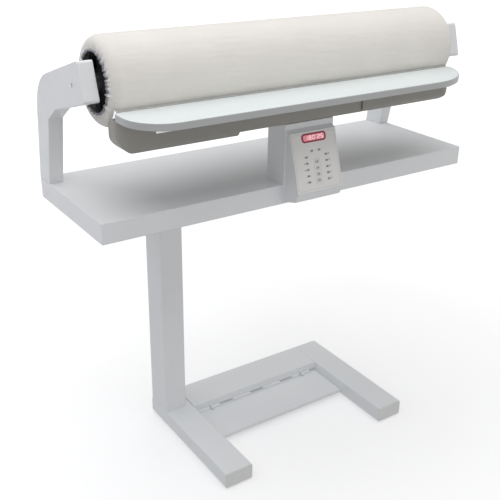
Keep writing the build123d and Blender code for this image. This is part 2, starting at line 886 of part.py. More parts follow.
with BuildPart() as roll_cover:
    # the cloth bunches up on its drawcord at the left end, and stands out past the tube
    cover_span = (-roll_half - left_end_reach, roll_half)
    roll_bar(cover_span, roll_radius)
    fillet(roll_cover.edges().sort_by(Axis.X)[0], left_end_radius)
    fillet(roll_cover.edges().sort_by(Axis.X)[-1], roll_edge_radius)
    inner = roll_radius - cover_thickness
    roll_bar((-tube_half, tube_half), inner, Mode.SUBTRACT)
    roll_bar(cover_span, hem_inner_radius, Mode.SUBTRACT)
keep(roll_cover, "roll_cover")


def end_cap(side):
    """A dished end cap pressed into the tube, with a hub for its bush."""
    with BuildPart() as cap:
        outer_face = side * cap_outer_face
        inner_face = side * (cap_outer_face - end_cap_thickness)
        roll_bar((outer_face, inner_face), tube_inner - running_clearance)
        roll_bar((outer_face, side * (hub_inner_face + end_cap_thickness)), tube_inner - running_clearance)
        roll_bar(
            (inner_face, side * (hub_inner_face + end_cap_thickness)),
            tube_inner - end_cap_thickness,
            Mode.SUBTRACT,
        )
        roll_bar((side * hub_outer_face, side * hub_inner_face), hub_radius)
        roll_bar((side * hub_outer_face, side * hub_inner_face), bush_radius, Mode.SUBTRACT)
        for hole_number in range(cap_hole_count):
            turn = 2 * math.pi * hole_number / cap_hole_count
            reach = (hub_radius + tube_inner) / 2
            place = (
                min(outer_face, inner_face),
                reach * math.sin(turn),
                roll_height + reach * math.cos(turn),
            )
            bar(place, (1, 0, 0), cap_hole_radius, end_cap_thickness, Mode.SUBTRACT)
    return cap


left_end_cap = end_cap(-1)
keep(left_end_cap, "left_end_cap")
right_end_cap = end_cap(1)
keep(right_end_cap, "right_end_cap")


with BuildPart() as roll_bushes:
    # plain bushes in the end caps' hubs, running on the axles
    for side in (-1, 1):
        roll_bar((side * hub_outer_face, side * hub_inner_face), bush_radius)
        bore = axle_radius + running_clearance
        roll_bar((side * hub_outer_face, side * hub_inner_face), bore, Mode.SUBTRACT)
keep(roll_bushes, "roll_bushes")

with BuildPart() as drive_disc:
    shaft_start = -motor_end - drive_shaft_engagement + collar_gap
    shaft_end = shaft_start + drive_shaft_length
    disc_start = shaft_end - drive_disc_thickness
    roll_bar((disc_start, shaft_end), tube_inner - running_clearance)
    roll_bar((disc_start - drive_disc_thickness, shaft_end), hub_radius)
    roll_bar((shaft_start, shaft_end), drive_shaft_radius)
    for hole_number in range(cap_hole_count):
        turn = 2 * math.pi * (hole_number + 1 / 2) / cap_hole_count
        reach = (hub_radius + tube_inner) / 2
        place = (disc_start, reach * math.sin(turn), roll_height + reach * math.cos(turn))
        bar(place, (1, 0, 0), cap_hole_radius, drive_disc_thickness, Mode.SUBTRACT)
keep(drive_disc, "drive_disc")


# ======================================================================
# Ironing shoe: heated trough, feed plate, under-covers, beam and saddle
# ======================================================================
def trough_point(radius, angle):
    """A point in the Y-Z plane at an angle from straight down, positive to the back."""
    turn = math.radians(angle)
    return (radius * math.sin(turn), roll_height - radius * math.cos(turn))


def trough_arc(x, back_angle):
    """The trough's section at an X place, from its front edge back to the given angle."""
    middle_angle = (back_angle - trough_wrap) / 2
    with BuildSketch(Plane.YZ.offset(x)) as section:
        with BuildLine():
            inner_arc = ThreePointArc(
                trough_point(trough_inner, -trough_wrap),
                trough_point(trough_inner, middle_angle),
                trough_point(trough_inner, back_angle),
            )
            outer_arc = ThreePointArc(
                trough_point(trough_outer, -trough_wrap),
                trough_point(trough_outer, middle_angle),
                trough_point(trough_outer, back_angle),
            )
            Line(inner_arc @ 0, outer_arc @ 0)
            Line(inner_arc @ 1, outer_arc @ 1)
        make_face()
    return section.sketch


lip_back = under_cover_back - sheet - trough_lip_gap
lip_bottom = trough_back_top - trough_lip_height
lip_end = cheek_thickness + under_cover_back_corner
flange_start = trough_point(trough_inner, trough_wrap)[0]
shoe_screw_height = (lip_bottom + trough_flange_bottom) / 2
shoe_screw_columns = (
    trough_left + shoe_screw_end,
    left_joint_x - shoe_screw_reach,
    left_joint_x + shoe_screw_reach,
    right_joint_x - shoe_screw_reach,
    right_joint_x + shoe_screw_reach,
    trough_right - shoe_screw_end,
)
with BuildPart() as shoe_trough:
    extrude(trough_arc(trough_left, trough_wrap), amount=trough_right - trough_left)
    # flange that rests on the covers' back wall
    block(
        (trough_left, trough_right),
        (flange_start, under_cover_back),
        (trough_flange_bottom, trough_back_top),
    )
    roll_bar((trough_left, trough_right), trough_inner, Mode.SUBTRACT)
    flange_corners = shoe_trough.edges().filter_by(Axis.Z).group_by(Axis.Y)[-1]
    fillet(flange_corners, under_cover_back_corner)
    # the front part of the arc runs on into the shoe's two noses
    extrude(trough_arc(strip_left, -strip_wrap), amount=strip_right - strip_left)
    # lip inside the back wall, which the cover screws go into
    block(
        (trough_left + lip_end, trough_right - lip_end),
        (lip_back - trough_lip_thickness, lip_back),
        (lip_bottom, trough_flange_bottom),
    )
    for x in shoe_screw_columns:
        start = (x, lip_back, shoe_screw_height)
        bar(start, (0, -1, 0), screw_radius + running_clearance, trough_lip_thickness, Mode.SUBTRACT)
keep(shoe_trough, "shoe_trough")

plate_rear = trough_point(trough_outer + fit_gap, -trough_wrap)[0]
right_centre = (shoe_right - plate_right_radius, plate_right_radius - plate_front)
right_sweep = 90 + math.degrees(math.asin((plate_rear - right_centre[1]) / plate_right_radius))
with BuildPart() as feed_plate:
    with BuildSketch(Plane.XY.offset(plate_bottom)) as plate_outline:
        with BuildLine():
            right_end = CenterArc(right_centre, plate_right_radius, 270, right_sweep)
            FilletPolyline(
                right_end @ 1,
                (shoe_left, plate_rear),
                (shoe_left, -plate_front),
                right_end @ 0,
                radius=(plate_back_radius, plate_left_radius),
            )
        make_face()
        fillet(plate_outline.vertices().sort_by(Axis.X)[-1], plate_back_radius)
    extrude(amount=plate_thickness)
    fillet(feed_plate.faces().sort_by(Axis.Z)[-1].edges(), plate_edge_radius)
keep(feed_plate, "feed_plate")


def belly(x_span, wall, drop, corner, inset):
    """The form of the under-covers below the trough, drawn in by the inset."""
    bottom = plate_bottom - drop + inset
    front = wall + inset
    back = under_cover_back - inset
    end_left = trough_left + (cheek_thickness if inset > 0 else 0)
    end_right = trough_right - (cheek_thickness if inset > 0 else 0)
    open_top = trough_flange_bottom + plate_thickness
    with BuildPart() as form:
        with BuildSketch(Plane.YZ.offset(x_span[0])):
            with BuildLine():
                rise = EllipticalCenterArc(
                    (belly_back, trough_flange_bottom),
                    back - belly_back,
                    trough_flange_bottom - bottom,
                    start_angle=270,
                    arc_size=90,
                )
                FilletPolyline(
                    rise @ 1,
                    (back, open_top),
                    (front, open_top),
                    (front, bottom),
                    rise @ 0,
                    radius=(0.0, 0.0, corner - inset),
                )
            make_face()
        extrude(amount=x_span[1] - x_span[0])
        # rounded back corners in plan
        with BuildSketch(Plane.XY.offset(bottom)):
            with BuildLine():
                FilletPolyline(
                    (end_left, front),
                    (end_left, back),
                    (end_right, back),
                    (end_right, front),
                    radius=(0.0, under_cover_back_corner, under_cover_back_corner, 0.0),
                    close=True,
                )
            make_face()
        extrude(amount=open_top - bottom + plate_thickness, mode=Mode.INTERSECT)
    return form.part


def nose(outer, inner, drop, plan_corner, end_radius):
    """The solid end block of a side cover, in front of the roll's axis."""
    low, high = ordered(outer, inner)
    bottom = plate_bottom - drop
    with BuildPart() as form:
        with BuildSketch(Plane.YZ.offset(low)):
            with BuildLine():
                FilletPolyline(
                    (side_wall, plate_bottom),
                    (side_wall, bottom),
                    (-nose_back, bottom),
                    (-nose_back, plate_bottom),
                    radius=(0.0, side_corner, nose_back_radius, 0.0),
                    close=True,
                )
            make_face()
        extrude(amount=high - low)
        # rounded corners in plan
        with BuildSketch(Plane.XY.offset(bottom)):
            with BuildLine():
                FilletPolyline(
                    (inner, side_wall),
                    (outer, side_wall),
                    (outer, -nose_back),
                    (inner, -nose_back),
                    radius=(0.0, plan_corner, nose_back_corner, 0.0),
                    close=True,
                )
            make_face()
        extrude(amount=drop, mode=Mode.INTERSECT)
        # rounded lower end seen from the front
        with BuildSketch(Plane.XZ.offset(nose_back)):
            with BuildLine():
                FilletPolyline(
                    (inner, plate_bottom),
                    (outer, plate_bottom),
                    (outer, bottom),
                    (inner, bottom),
                    radius=(0.0, 0.0, end_radius, 0.0),
                    close=True,
                )
            make_face()
        extrude(amount=-nose_back - side_wall, mode=Mode.INTERSECT)
    return form.part


def under_cover(x_span, cavity_span, wall, drop, corner, end_blocks):
    """A thin cover below the trough, joined to its solid end blocks."""
    with BuildPart() as cover:
        add(belly(x_span, wall, drop, corner, 0))
        for end_block in end_blocks:
            add(end_block)
        add(belly(cavity_span, wall, drop, corner, sheet), mode=Mode.SUBTRACT)
        block(x_span, (-plate_front, 0), (plate_bottom, roll_height), Mode.SUBTRACT)
        block(x_span, (0, under_cover_back), (trough_flange_bottom, roll_height), Mode.SUBTRACT)
        roll_bar(x_span, roll_radius + cheek_gap, Mode.SUBTRACT)
        low = max(x_span[0], strip_left - joint_gap)
        high = min(x_span[1], strip_right + joint_gap)
        roll_bar((low, high), trough_outer + fit_gap, Mode.SUBTRACT)
        for x in shoe_screw_columns:
            if x_span[0] < x < x_span[1]:
                start = (x, under_cover_back, shoe_screw_height)
                bar(start, (0, -1, 0), screw_radius + bolt_clearance, 2 * sheet, Mode.SUBTRACT)
    return cover


# the side covers' inner walls have a window inside the outline of the middle cover's hollow
window_span = (left_joint_x - 2 * sheet, right_joint_x + 2 * sheet)
window = belly(window_span, middle_wall, middle_cover_drop, side_corner, 2 * sheet)

# the outer spans run past the shoe's ends, where the plan outline trims them
left_nose = nose(
    shoe_left,
    trough_left + cheek_thickness,
    left_cover_drop,
    left_nose_corner,
    left_nose_radius,
)
left_under_cover = under_cover(
    (shoe_left - sheet, left_joint_x),
    (shoe_left, left_joint_x - sheet),
    side_wall,
    left_cover_drop,
    side_corner,
    [left_nose],
)
with left_under_cover:
    add(window, mode=Mode.SUBTRACT)
keep(left_under_cover, "left_under_cover")

right_nose = nose(
    nose_right,
    trough_right - cheek_thickness,
    right_cover_drop,
    right_nose_corner,
    right_nose_radius,
)
right_under_cover = under_cover(
    (right_joint_x, shoe_right + sheet),
    (right_joint_x + sheet, shoe_right),
    side_wall,
    right_cover_drop,
    side_corner,
    [right_nose],
)
with right_under_cover:
    add(window, mode=Mode.SUBTRACT)
keep(right_under_cover, "right_under_cover")

middle_span = (left_joint_x + joint_gap, right_joint_x - joint_gap)
middle_under_cover = under_cover(
    middle_span, middle_span, middle_wall, middle_cover_drop, sheet, []
)
with middle_under_cover:
    opening_half = neck_half + neck_opening_gap
    block(
        (-opening_half, opening_half),
        (middle_wall + sheet, neck_back + neck_opening_gap),
        (middle_bottom, middle_bottom + sheet),
        Mode.SUBTRACT,
    )
keep(middle_under_cover, "middle_under_cover")

with BuildPart() as shoe_cover_screws:
    for x in shoe_screw_columns:
        screw((x, under_cover_back, shoe_screw_height), (0, -1, 0))
keep(shoe_cover_screws, "shoe_cover_screws")

heater_seat = trough_outer + heater_radius
with BuildPart() as heater_rods:
    for angle in heater_angles:
        y, z = trough_point(heater_seat, angle)
        start = trough_left + heater_end_gap
        bar((start, y, z), (1, 0, 0), heater_radius, trough_right - heater_end_gap - start)
keep(heater_rods, "heater_rods")

with BuildPart() as thermostat:
    top = roll_height - trough_outer + thermostat_height / 2
    block(
        (thermostat_x - thermostat_size / 2, thermostat_x + thermostat_size / 2),
        (-thermostat_size / 4, thermostat_size / 4),
        (roll_height - trough_outer - thermostat_height, top),
    )
    roll_bar((thermostat_x - thermostat_size, thermostat_x + thermostat_size), trough_outer, Mode.SUBTRACT)
keep(thermostat, "thermostat")

beam_half = shoe_length / 2 - shoe_beam_inset
beam_back = side_wall - shoe_beam_gap
beam_front = beam_back - shoe_beam_depth
with BuildPart() as shoe_beam:
    block(
        (shoe_offset - beam_half, shoe_offset + beam_half),
        (beam_front, beam_back),
        (plate_bottom - shoe_beam_height, plate_bottom),
    )
    block(
        (shoe_offset - beam_half, shoe_offset + beam_half),
        (beam_front + shoe_beam_wall, beam_back - shoe_beam_wall),
        (plate_bottom - shoe_beam_height, plate_bottom - shoe_beam_wall),
        Mode.SUBTRACT,
    )
keep(shoe_beam, "shoe_beam")

saddle_bottom = middle_bottom - saddle_stem
guide_rod_top = saddle_bottom + guide_rod_engagement
guide_bore_top = saddle_bottom + guide_bore_depth
saddle_front = lift_y - saddle_depth / 2
saddle_back = lift_y + saddle_depth / 2
saddle_span = (-saddle_width / 2, saddle_width / 2)
with BuildPart() as shoe_saddle:
    block(saddle_span, (saddle_front, saddle_back), (saddle_bottom, plate_bottom))
    block(
        saddle_span,
        (middle_wall + sheet + saddle_flange_gap, saddle_front),
        (plate_bottom - saddle_flange_thickness, plate_bottom),
    )
    roll_bar(saddle_span, trough_outer, Mode.SUBTRACT)
    for angle in heater_angles:
        y, z = trough_point(heater_seat, angle)
        groove = heater_radius + cheek_gap
        bar((saddle_span[0], y, z), (1, 0, 0), groove, saddle_width, Mode.SUBTRACT)
    for side in (-1, 1):
        start = (side * guide_rod_x, lift_y, saddle_bottom)
        bore = guide_rod_radius + running_clearance
        bar(start, (0, 0, 1), bore, guide_bore_top - saddle_bottom, Mode.SUBTRACT)
    start = (0, lift_y, saddle_bottom)
    bar(start, (0, 0, 1), lift_screw_radius + cheek_gap, guide_bore_top - saddle_bottom, Mode.SUBTRACT)
    bar(start, (0, 0, 1), nut_radius + running_clearance, nut_depth + fit_gap, Mode.SUBTRACT)
keep(shoe_saddle, "shoe_saddle")

with BuildPart() as lift_nut:
    bar((0, lift_y, saddle_bottom - nut_flange_thickness), (0, 0, 1), nut_flange_radius, nut_flange_thickness)
    bar((0, lift_y, saddle_bottom), (0, 0, 1), nut_radius, nut_depth)
    bar(
        (0, lift_y, saddle_bottom - nut_flange_thickness),
        (0, 0, 1),
        lift_screw_radius + running_clearance,
        nut_flange_thickness + nut_depth,
        Mode.SUBTRACT,
    )
keep(lift_nut, "lift_nut")


# ======================================================================
# Neck: casing on the shelf with the lift motor, screw and guide rods inside
# ======================================================================
with BuildPart() as neck_casing:
    block((-neck_half, neck_half), (neck_front, neck_back), (shelf_top, neck_top))
    fillet(neck_casing.edges().filter_by(Axis.Z).group_by(Axis.Y)[-1], edge_radius)
    block(
        (-neck_half + sheet, neck_half - sheet),
        (neck_front + sheet, neck_back - sheet),
        (shelf_top, neck_top),
        Mode.SUBTRACT,
    )
keep(neck_casing, "neck_casing")

with BuildPart() as lift_base_plate:
    block(
        (-neck_half + sheet + fit_gap, neck_half - sheet - fit_gap),
        (neck_front + sheet + fit_gap, neck_back - sheet - fit_gap),
        (shelf_top, shelf_top + lift_base_thickness),
    )
    for x, y in neck_bolts:
        hole = bolt_radius + bolt_clearance
        bar((x, y, shelf_top), (0, 0, 1), hole, lift_base_thickness, Mode.SUBTRACT)
    for side in (-1, 1):
        hole = guide_rod_radius + running_clearance
        start = (side * guide_rod_x, lift_y, shelf_top)
        bar(start, (0, 0, 1), hole, lift_base_thickness, Mode.SUBTRACT)
keep(lift_base_plate, "lift_base_plate")

with BuildPart() as guide_rods:
    for side in (-1, 1):
        start = (side * guide_rod_x, lift_y, shelf_top)
        bar(start, (0, 0, 1), guide_rod_radius, guide_rod_top - shelf_top)
    chamfer(guide_rods.edges().group_by(Axis.Z)[-1], guide_rod_radius / 6)
keep(guide_rods, "guide_rods")

motor_bottom = shelf_top + lift_base_thickness
coupler_top = saddle_bottom - nut_flange_thickness - lift_travel - lift_gap
motor_top = coupler_top - lift_coupler_height
with BuildPart() as lift_motor:
    bar((0, lift_y, motor_bottom), (0, 0, 1), lift_motor_radius, motor_top - motor_bottom)
    fillet(lift_motor.edges().group_by(Axis.Z)[-1], lift_motor_radius / 8)
keep(lift_motor, "lift_motor")

with BuildPart() as lift_screw:
    bar((0, lift_y, motor_top), (0, 0, 1), lift_coupler_radius, lift_coupler_height)
    bar((0, lift_y, motor_top), (0, 0, 1), lift_screw_radius, guide_rod_top - motor_top)
    chamfer(lift_screw.edges().group_by(Axis.Z)[-1], lift_screw_radius / 6)
keep(lift_screw, "lift_screw")


# ======================================================================
# Control console on the front of the neck
# ======================================================================
console_top = neck_top - console_top_drop
panel_top_edge = (cover_face - panel_top_reach, console_top - panel_top_drop)
panel_bottom_edge = (cover_face - panel_bottom_reach, panel_top_edge[1] - panel_height)
chin_edge = (cover_face - console_chin_reach, panel_bottom_edge[1] - console_chin_drop)
front_cover_bottom = chin_edge[1] - front_cover_drop
panel_rise = Vector(
    0,
    panel_top_edge[0] - panel_bottom_edge[0],
    panel_top_edge[1] - panel_bottom_edge[1],
)
panel_length = panel_rise.length
panel_normal = Vector(0, -panel_rise.Z, panel_rise.Y).normalized()
# the panel's own plane: x to the right, y up the slope, z out of the face
panel_plane = Plane(
    origin=(0, panel_top_edge[0], panel_top_edge[1]),
    x_dir=(1, 0, 0),
    z_dir=panel_normal,
)
console_half = console_width / 2
button_rows = [button_first + mark_pitch * row for row in range(button_count)]
mark_places = [
    (side * mark_column, -(mark_first + mark_pitch * row))
    for side in (-1, 1)
    for row in range(mark_rows)
] + [(side * top_mark_x, -top_mark_row) for side in (-1, 1)]
board_top = -(display_row - display_height / 2 + board_margin)
board_bottom = -(panel_length - board_margin)
board_centre = (board_top + board_bottom) / 2
board_half = console_half - board_margin
spacer_places = [
    (side * (board_half - board_margin / 2), y)
    for side in (-1, 1)
    for y in (board_top - board_margin / 2, board_bottom + board_margin / 2)
]


def console_outline(x, inset):
    """The console's side outline at an X place; its back stays on the front cover."""
    back = cover_face + inset
    with BuildSketch(Plane.YZ.offset(x)) as outline:
        with BuildLine():
            Polyline(
                (back, console_top),
                panel_top_edge,
                panel_bottom_edge,
                chin_edge,
                (back, front_cover_bottom),
                close=True,
            )
        make_face()
        if inset > 0:
            offset(amount=-inset, mode=Mode.REPLACE)
    return outline.sketch


with BuildPart() as console_housing:
    extrude(console_outline(-console_half, 0), amount=console_width)
    hollow = console_outline(-console_half + console_wall, console_wall)
    extrude(hollow, amount=console_width - 2 * console_wall, mode=Mode.SUBTRACT)
    with BuildSketch(panel_plane):
        Rectangle(console_width, panel_length, align=(Align.CENTER, Align.MAX))
    extrude(amount=-panel_thickness, mode=Mode.SUBTRACT)
    block(
        (-neck_half, neck_half),
        (cover_face, neck_front),
        (front_cover_bottom, neck_top),
    )
keep(console_housing, "console_housing")

with BuildPart() as control_panel:
    with BuildSketch(panel_plane):
        Rectangle(console_width, panel_length, align=(Align.CENTER, Align.MAX))
    extrude(amount=-panel_thickness)
    with BuildSketch(panel_plane):
        for row in button_rows:
            with Locations((0, -row)):
                RectangleRounded(
                    button_width + 2 * button_gap,
                    button_height + 2 * button_gap,
                    button_corner + button_gap,
                )
        for place in mark_places:
            with Locations(place):
                RectangleRounded(
                    mark_width + 2 * running_clearance,
                    mark_height + 2 * running_clearance,
                    mark_corner,
                )
    extrude(amount=-panel_thickness, mode=Mode.SUBTRACT)
    with BuildSketch(panel_plane):
        with Locations((0, -display_row)):
            RectangleRounded(
                display_width + 2 * running_clearance,
                display_height + 2 * running_clearance,
                display_corner,
            )
    extrude(amount=-display_depth, mode=Mode.SUBTRACT)
    with BuildSketch(panel_plane.offset(-panel_thickness)):
        with Locations(*spacer_places):
            Circle(spacer_radius)
    extrude(amount=-(board_depth - panel_thickness))
keep(control_panel, "control_panel")

with BuildPart() as display_window:
    with BuildSketch(panel_plane.offset(-display_depth)):
        with Locations((0, -display_row)):
            RectangleRounded(display_width, display_height, display_corner)
    extrude(amount=display_depth + display_stand)
    fillet(display_window.faces().filter_by(panel_plane).sort_by(Axis.Y)[0].edges(), display_stand / 2)
keep(display_window, "display_window")

with BuildPart() as indicator_lenses:
    with BuildSketch(panel_plane.offset(-panel_thickness)):
        for place in mark_places:
            with Locations(place):
                RectangleRounded(mark_width, mark_height, mark_corner)
    extrude(amount=panel_thickness + button_gap)
keep(indicator_lenses, "indicator_lenses")

for number, row in enumerate(button_rows, start=1):
    with BuildPart() as button:
        with BuildSketch(panel_plane.offset(-panel_thickness)):
            with Locations((0, -row)):
                RectangleRounded(button_width, button_height, button_corner)
        extrude(amount=panel_thickness + button_stand)
        rim = button.faces().filter_by(panel_plane).sort_by(Axis.Y)[0].edges()
        fillet(rim, button_stand / 3)
        with BuildSketch(panel_plane.offset(-panel_thickness - button_flange)):
            with Locations((0, -row)):
                RectangleRounded(
                    button_width + 2 * button_flange,
                    button_height + 2 * button_flange,
                    button_corner,
                )
        extrude(amount=button_flange)
        stem_end = board_depth - button_travel - button_gap
        with BuildSketch(panel_plane.offset(-stem_end)):
            with Locations((0, -row)):
                Circle(button_corner)
        extrude(amount=stem_end - panel_thickness - button_flange)
    keep(button, f"button_{number}")

with BuildPart() as circuit_board:
    with BuildSketch(panel_plane.offset(-board_depth)):
        with Locations((0, board_centre)):
            Rectangle(2 * board_half, board_top - board_bottom)
    extrude(amount=-board_thickness)
keep(circuit_board, "circuit_board")


# ======================================================================
# Fasteners
# ======================================================================
with BuildPart() as frame_bolts:
    for x, y in column_top_bolts:
        bolt((x, y, shelf_bottom - column_flange), (0, 0, 1))
    for x, y in column_foot_bolts:
        bolt((x, y, base_top - tube_wall), (0, 0, 1))
    for x, y in neck_bolts:
        bolt((x, y, shelf_top + lift_base_thickness), (0, 0, -1))
    for side in (-1, 1):
        for y in rail_bolt_rows:
            bolt((side * (leg_inner - tube_wall), y, rail_bolt_height), (side, 0, 0))
keep(frame_bolts, "frame_bolts")

with BuildPart() as arm_bolts:
    for x, y in arm_bolt_places:
        bolt((x, y, beam_bottom), (0, 0, 1), shelf_top - beam_bottom + arm_bolt_thread)
keep(arm_bolts, "arm_bolts")

with BuildPart() as casing_screws:
    for x in screw_columns:
        for y in screw_rows:
            screw((x, y, shelf_bottom), (0, 0, 1))
    for side in (-1, 1):
        screw((side * arm_outer_face, 0, roll_height), (-side, 0, 0))
        for y, rise in arm_screw_places:
            screw((side * arm_inner_face, y, roll_height + rise), (side, 0, 0))
keep(casing_screws, "casing_screws")
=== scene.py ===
import json
import math

import bpy
import bmesh
import numpy as np
from mathutils import Matrix, Vector


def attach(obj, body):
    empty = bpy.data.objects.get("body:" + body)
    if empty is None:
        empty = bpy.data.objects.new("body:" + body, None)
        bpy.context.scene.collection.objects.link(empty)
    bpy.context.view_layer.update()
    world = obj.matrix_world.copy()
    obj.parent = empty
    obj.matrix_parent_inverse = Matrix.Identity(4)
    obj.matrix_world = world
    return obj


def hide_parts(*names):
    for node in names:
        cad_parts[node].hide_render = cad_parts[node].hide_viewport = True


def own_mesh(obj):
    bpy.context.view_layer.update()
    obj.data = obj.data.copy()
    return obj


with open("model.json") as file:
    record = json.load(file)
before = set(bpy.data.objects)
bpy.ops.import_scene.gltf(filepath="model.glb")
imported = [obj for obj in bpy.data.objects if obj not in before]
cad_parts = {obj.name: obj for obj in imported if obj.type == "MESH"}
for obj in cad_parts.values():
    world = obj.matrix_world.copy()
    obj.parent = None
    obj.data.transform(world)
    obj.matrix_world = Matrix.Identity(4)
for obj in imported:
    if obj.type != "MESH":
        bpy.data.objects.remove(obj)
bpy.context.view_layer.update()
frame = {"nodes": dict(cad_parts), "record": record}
MM = 0.001
FULL_TURN = 2 * math.pi
ROLL_Y, ROLL_Z = -11.0, 940.0
scene = bpy.context.scene


# ======================================================================
# Node helpers
# ======================================================================
def node(tree, kind, inputs=None, **settings):
    """A shader node with its settings, and with its inputs linked or set."""
    made = tree.nodes.new("ShaderNode" + kind)
    for key, value in settings.items():
        setattr(made, key, value)
    for key, value in (inputs or {}).items():
        if isinstance(value, bpy.types.NodeSocket):
            tree.links.new(value, made.inputs[key])
        else:
            made.inputs[key].default_value = value
    return made


def new_material(name, roughness, metallic=0.0, **uniform):
    """A material with its node tree and shader; uniform values sit on the shader's own sockets."""
    made = bpy.data.materials.new(name)
    made.use_nodes = True
    shader = made.node_tree.nodes["Principled BSDF"]
    shader.inputs["Roughness"].default_value = roughness
    shader.inputs["Metallic"].default_value = metallic
    for key, value in uniform.items():
        shader.inputs[key.replace("_", " ")].default_value = value
    return made, made.node_tree, shader


def connect(tree, shader, **outputs):
    """Links nodes' outputs to the shader's sockets, named with _ for a space."""
    for key, output in outputs.items():
        tree.links.new(output, shader.inputs[key.replace("_", " ")])


def place_of(tree, factors=(1.0, 1.0, 1.0)):
    """The piece's own coordinates in metres, times a factor along each axis."""
    place = node(tree, "TexCoord").outputs["Object"]
    return node(tree, "Mapping", {"Vector": place, "Scale": factors}).outputs[0]


def noise(tree, place, scale, detail, roughness=0.55):
    """A noise pattern, with its scale in waves a metre."""
    inputs = {"Vector": place, "Scale": scale, "Detail": detail, "Roughness": roughness}
    return node(tree, "TexNoise", inputs).outputs[0]


def remap(tree, value, low, high, to_low, to_high):
    """The value moved from one range to another, and kept inside it."""
    limits = {"From Min": low, "From Max": high, "To Min": to_low, "To Max": to_high}
    return node(tree, "MapRange", {"Value": value, **limits}).outputs[0]


def tint(tree, share, first, second):
    """A colour between two, each a colour or another colour's output."""
    made = node(tree, "Mix", {0: share}, data_type="RGBA")
    for index, colour in ((6, first), (7, second)):
        if isinstance(colour, bpy.types.NodeSocket):
            tree.links.new(colour, made.inputs[index])
        else:
            made.inputs[index].default_value = (*colour, 1.0)
    return made.outputs[2]


def mottled(tree, pattern, colour, shade, low=0.3):
    """The colour, which turns into its shade where the pattern is high."""
    return tint(tree, remap(tree, pattern, low, 0.7, 0.0, 1.0), colour, shade)


def scaled(colour, factor):
    """The colour made darker or lighter, at most white."""
    return tuple(min(1.0, channel * factor) for channel in colour)


def calc(tree, operation, first, second=0.0):
    """The output of one sum on two values."""
    return node(tree, "Math", {0: first, 1: second}, operation=operation).outputs[0]


def bump(tree, height, strength, distance, normal=None):
    """The normal of a surface with small heights, on top of another normal if one is given."""
    inputs = {"Height": height, "Strength": strength, "Distance": distance}
    if normal is not None:
        inputs["Normal"] = normal
    return node(tree, "Bump", inputs).outputs[0]


def rounded(tree, radius):
    """The normal of slightly rounded edges, and how near to an edge the point is."""
    bevel = node(tree, "Bevel", {"Radius": radius}, samples=4)
    flat = node(tree, "NewGeometry").outputs["Normal"]
    inputs = {0: bevel.outputs[0], 1: flat}
    likeness = node(tree, "VectorMath", inputs, operation="DOT_PRODUCT").outputs["Value"]
    return bevel.outputs[0], remap(tree, likeness, 0.90, 0.998, 1.0, 0.0)


# ======================================================================
# Materials
# ======================================================================
ENAMEL_EDGE = 0.0012
METAL_EDGE = 0.0006
PLASTIC_EDGE = 0.0005
CLOTH_RADIUS = 0.0895
THREAD_PITCH = 0.0011
THREAD_DEPTH = 0.00018
FELT_DEPTH = 0.0004


def enamel(name, colour, shade, roughness, peel=520.0, peel_depth=0.00006, painted_side_shade=None):
    """Stove-enamelled or powder-coated sheet: orange peel, faint clouding, edges lighter with rub
    marks and a painted highlight.

    A painted side shade colour, if given, is painted on the faces that don't look up, as the shade
    of the light from above.
    """
    made, tree, shader = new_material(name, roughness)
    place = place_of(tree)
    clouds = noise(tree, place, 5.0, 3.0)
    specks = noise(tree, place, 900.0, 2.0)
    normal, near_edge = rounded(tree, ENAMEL_EDGE)
    rubs_and_highlight = remap(tree, noise(tree, place, 60.0, 4.0), 0.45, 0.75, 0.0, 0.6)
    base = mottled(tree, clouds, colour, shade, low=0.35)
    base = tint(tree, remap(tree, specks, 0.62, 0.8, 0.0, 0.25), base, scaled(colour, 0.8))
    # edges lighter: partly rub marks, partly a painted highlight
    base = tint(tree, calc(tree, "MULTIPLY", near_edge, rubs_and_highlight), base, scaled(colour, 1.08))
    # painted shade: faces that don't look up turn darker, as if shaded from the light above
    if painted_side_shade is not None:
        facing = node(tree, "SeparateXYZ", {0: node(tree, "TexCoord").outputs["Normal"]})
        base = tint(tree, remap(tree, facing.outputs[2], 0.45, 0.8, 1.0, 0.0), base, painted_side_shade)
    sheen = noise(tree, place, 34.0, 5.0)
    connect(
        tree, shader, Base_Color=base,
        Roughness=remap(tree, sheen, 0.3, 0.75, roughness - 0.05, roughness + 0.09),
        Normal=bump(tree, noise(tree, place, peel, 1.0), 0.35, peel_depth, normal),
    )
    return made


def metal(name, colour, shade, roughness, factors=(1.0, 1.0, 1.0), grain=400.0, depth=0.00004):
    """Bare metal, with a grain that runs along the axis whose factor is smallest."""
    made, tree, shader = new_material(name, roughness, metallic=1.0)
    lines = noise(tree, place_of(tree, factors), grain, 3.0, 0.6)
    stains = noise(tree, place_of(tree), 25.0, 4.0)
    normal, near_edge = rounded(tree, METAL_EDGE)
    base = mottled(tree, stains, colour, shade)
    # edges lighter: partly wear, partly a painted highlight
    base = tint(tree, calc(tree, "MULTIPLY", near_edge, 0.5), base, scaled(colour, 1.25))
    connect(
        tree, shader, Base_Color=base,
        Roughness=remap(tree, lines, 0.3, 0.7, roughness - 0.07, roughness + 0.1),
        Normal=bump(tree, lines, 0.4, depth, normal),
    )
    return made


def plastic(name, colour, shade, roughness, texture=800.0, depth=0.00005, **uniform):
    """Moulded plastic or rubber with a fine mould texture."""
    made, tree, shader = new_material(name, roughness, **uniform)
    place = place_of(tree)
    normal, near_edge = rounded(tree, PLASTIC_EDGE)
    base = mottled(tree, noise(tree, place, 18.0, 4.0), colour, shade)
    # edges lighter: partly wear, partly a painted highlight
    worn_and_highlit = tuple(min(1.0, channel * 1.2 + 0.02) for channel in colour)
    base = tint(tree, calc(tree, "MULTIPLY", near_edge, 0.45), base, worn_and_highlit)
    spots = noise(tree, place, 90.0, 3.0)
    connect(
        tree, shader, Base_Color=base,
        Roughness=remap(tree, spots, 0.3, 0.7, roughness - 0.05, roughness + 0.07),
        Normal=bump(tree, noise(tree, place, texture, 2.0), 0.4, depth, normal),
    )
    return made


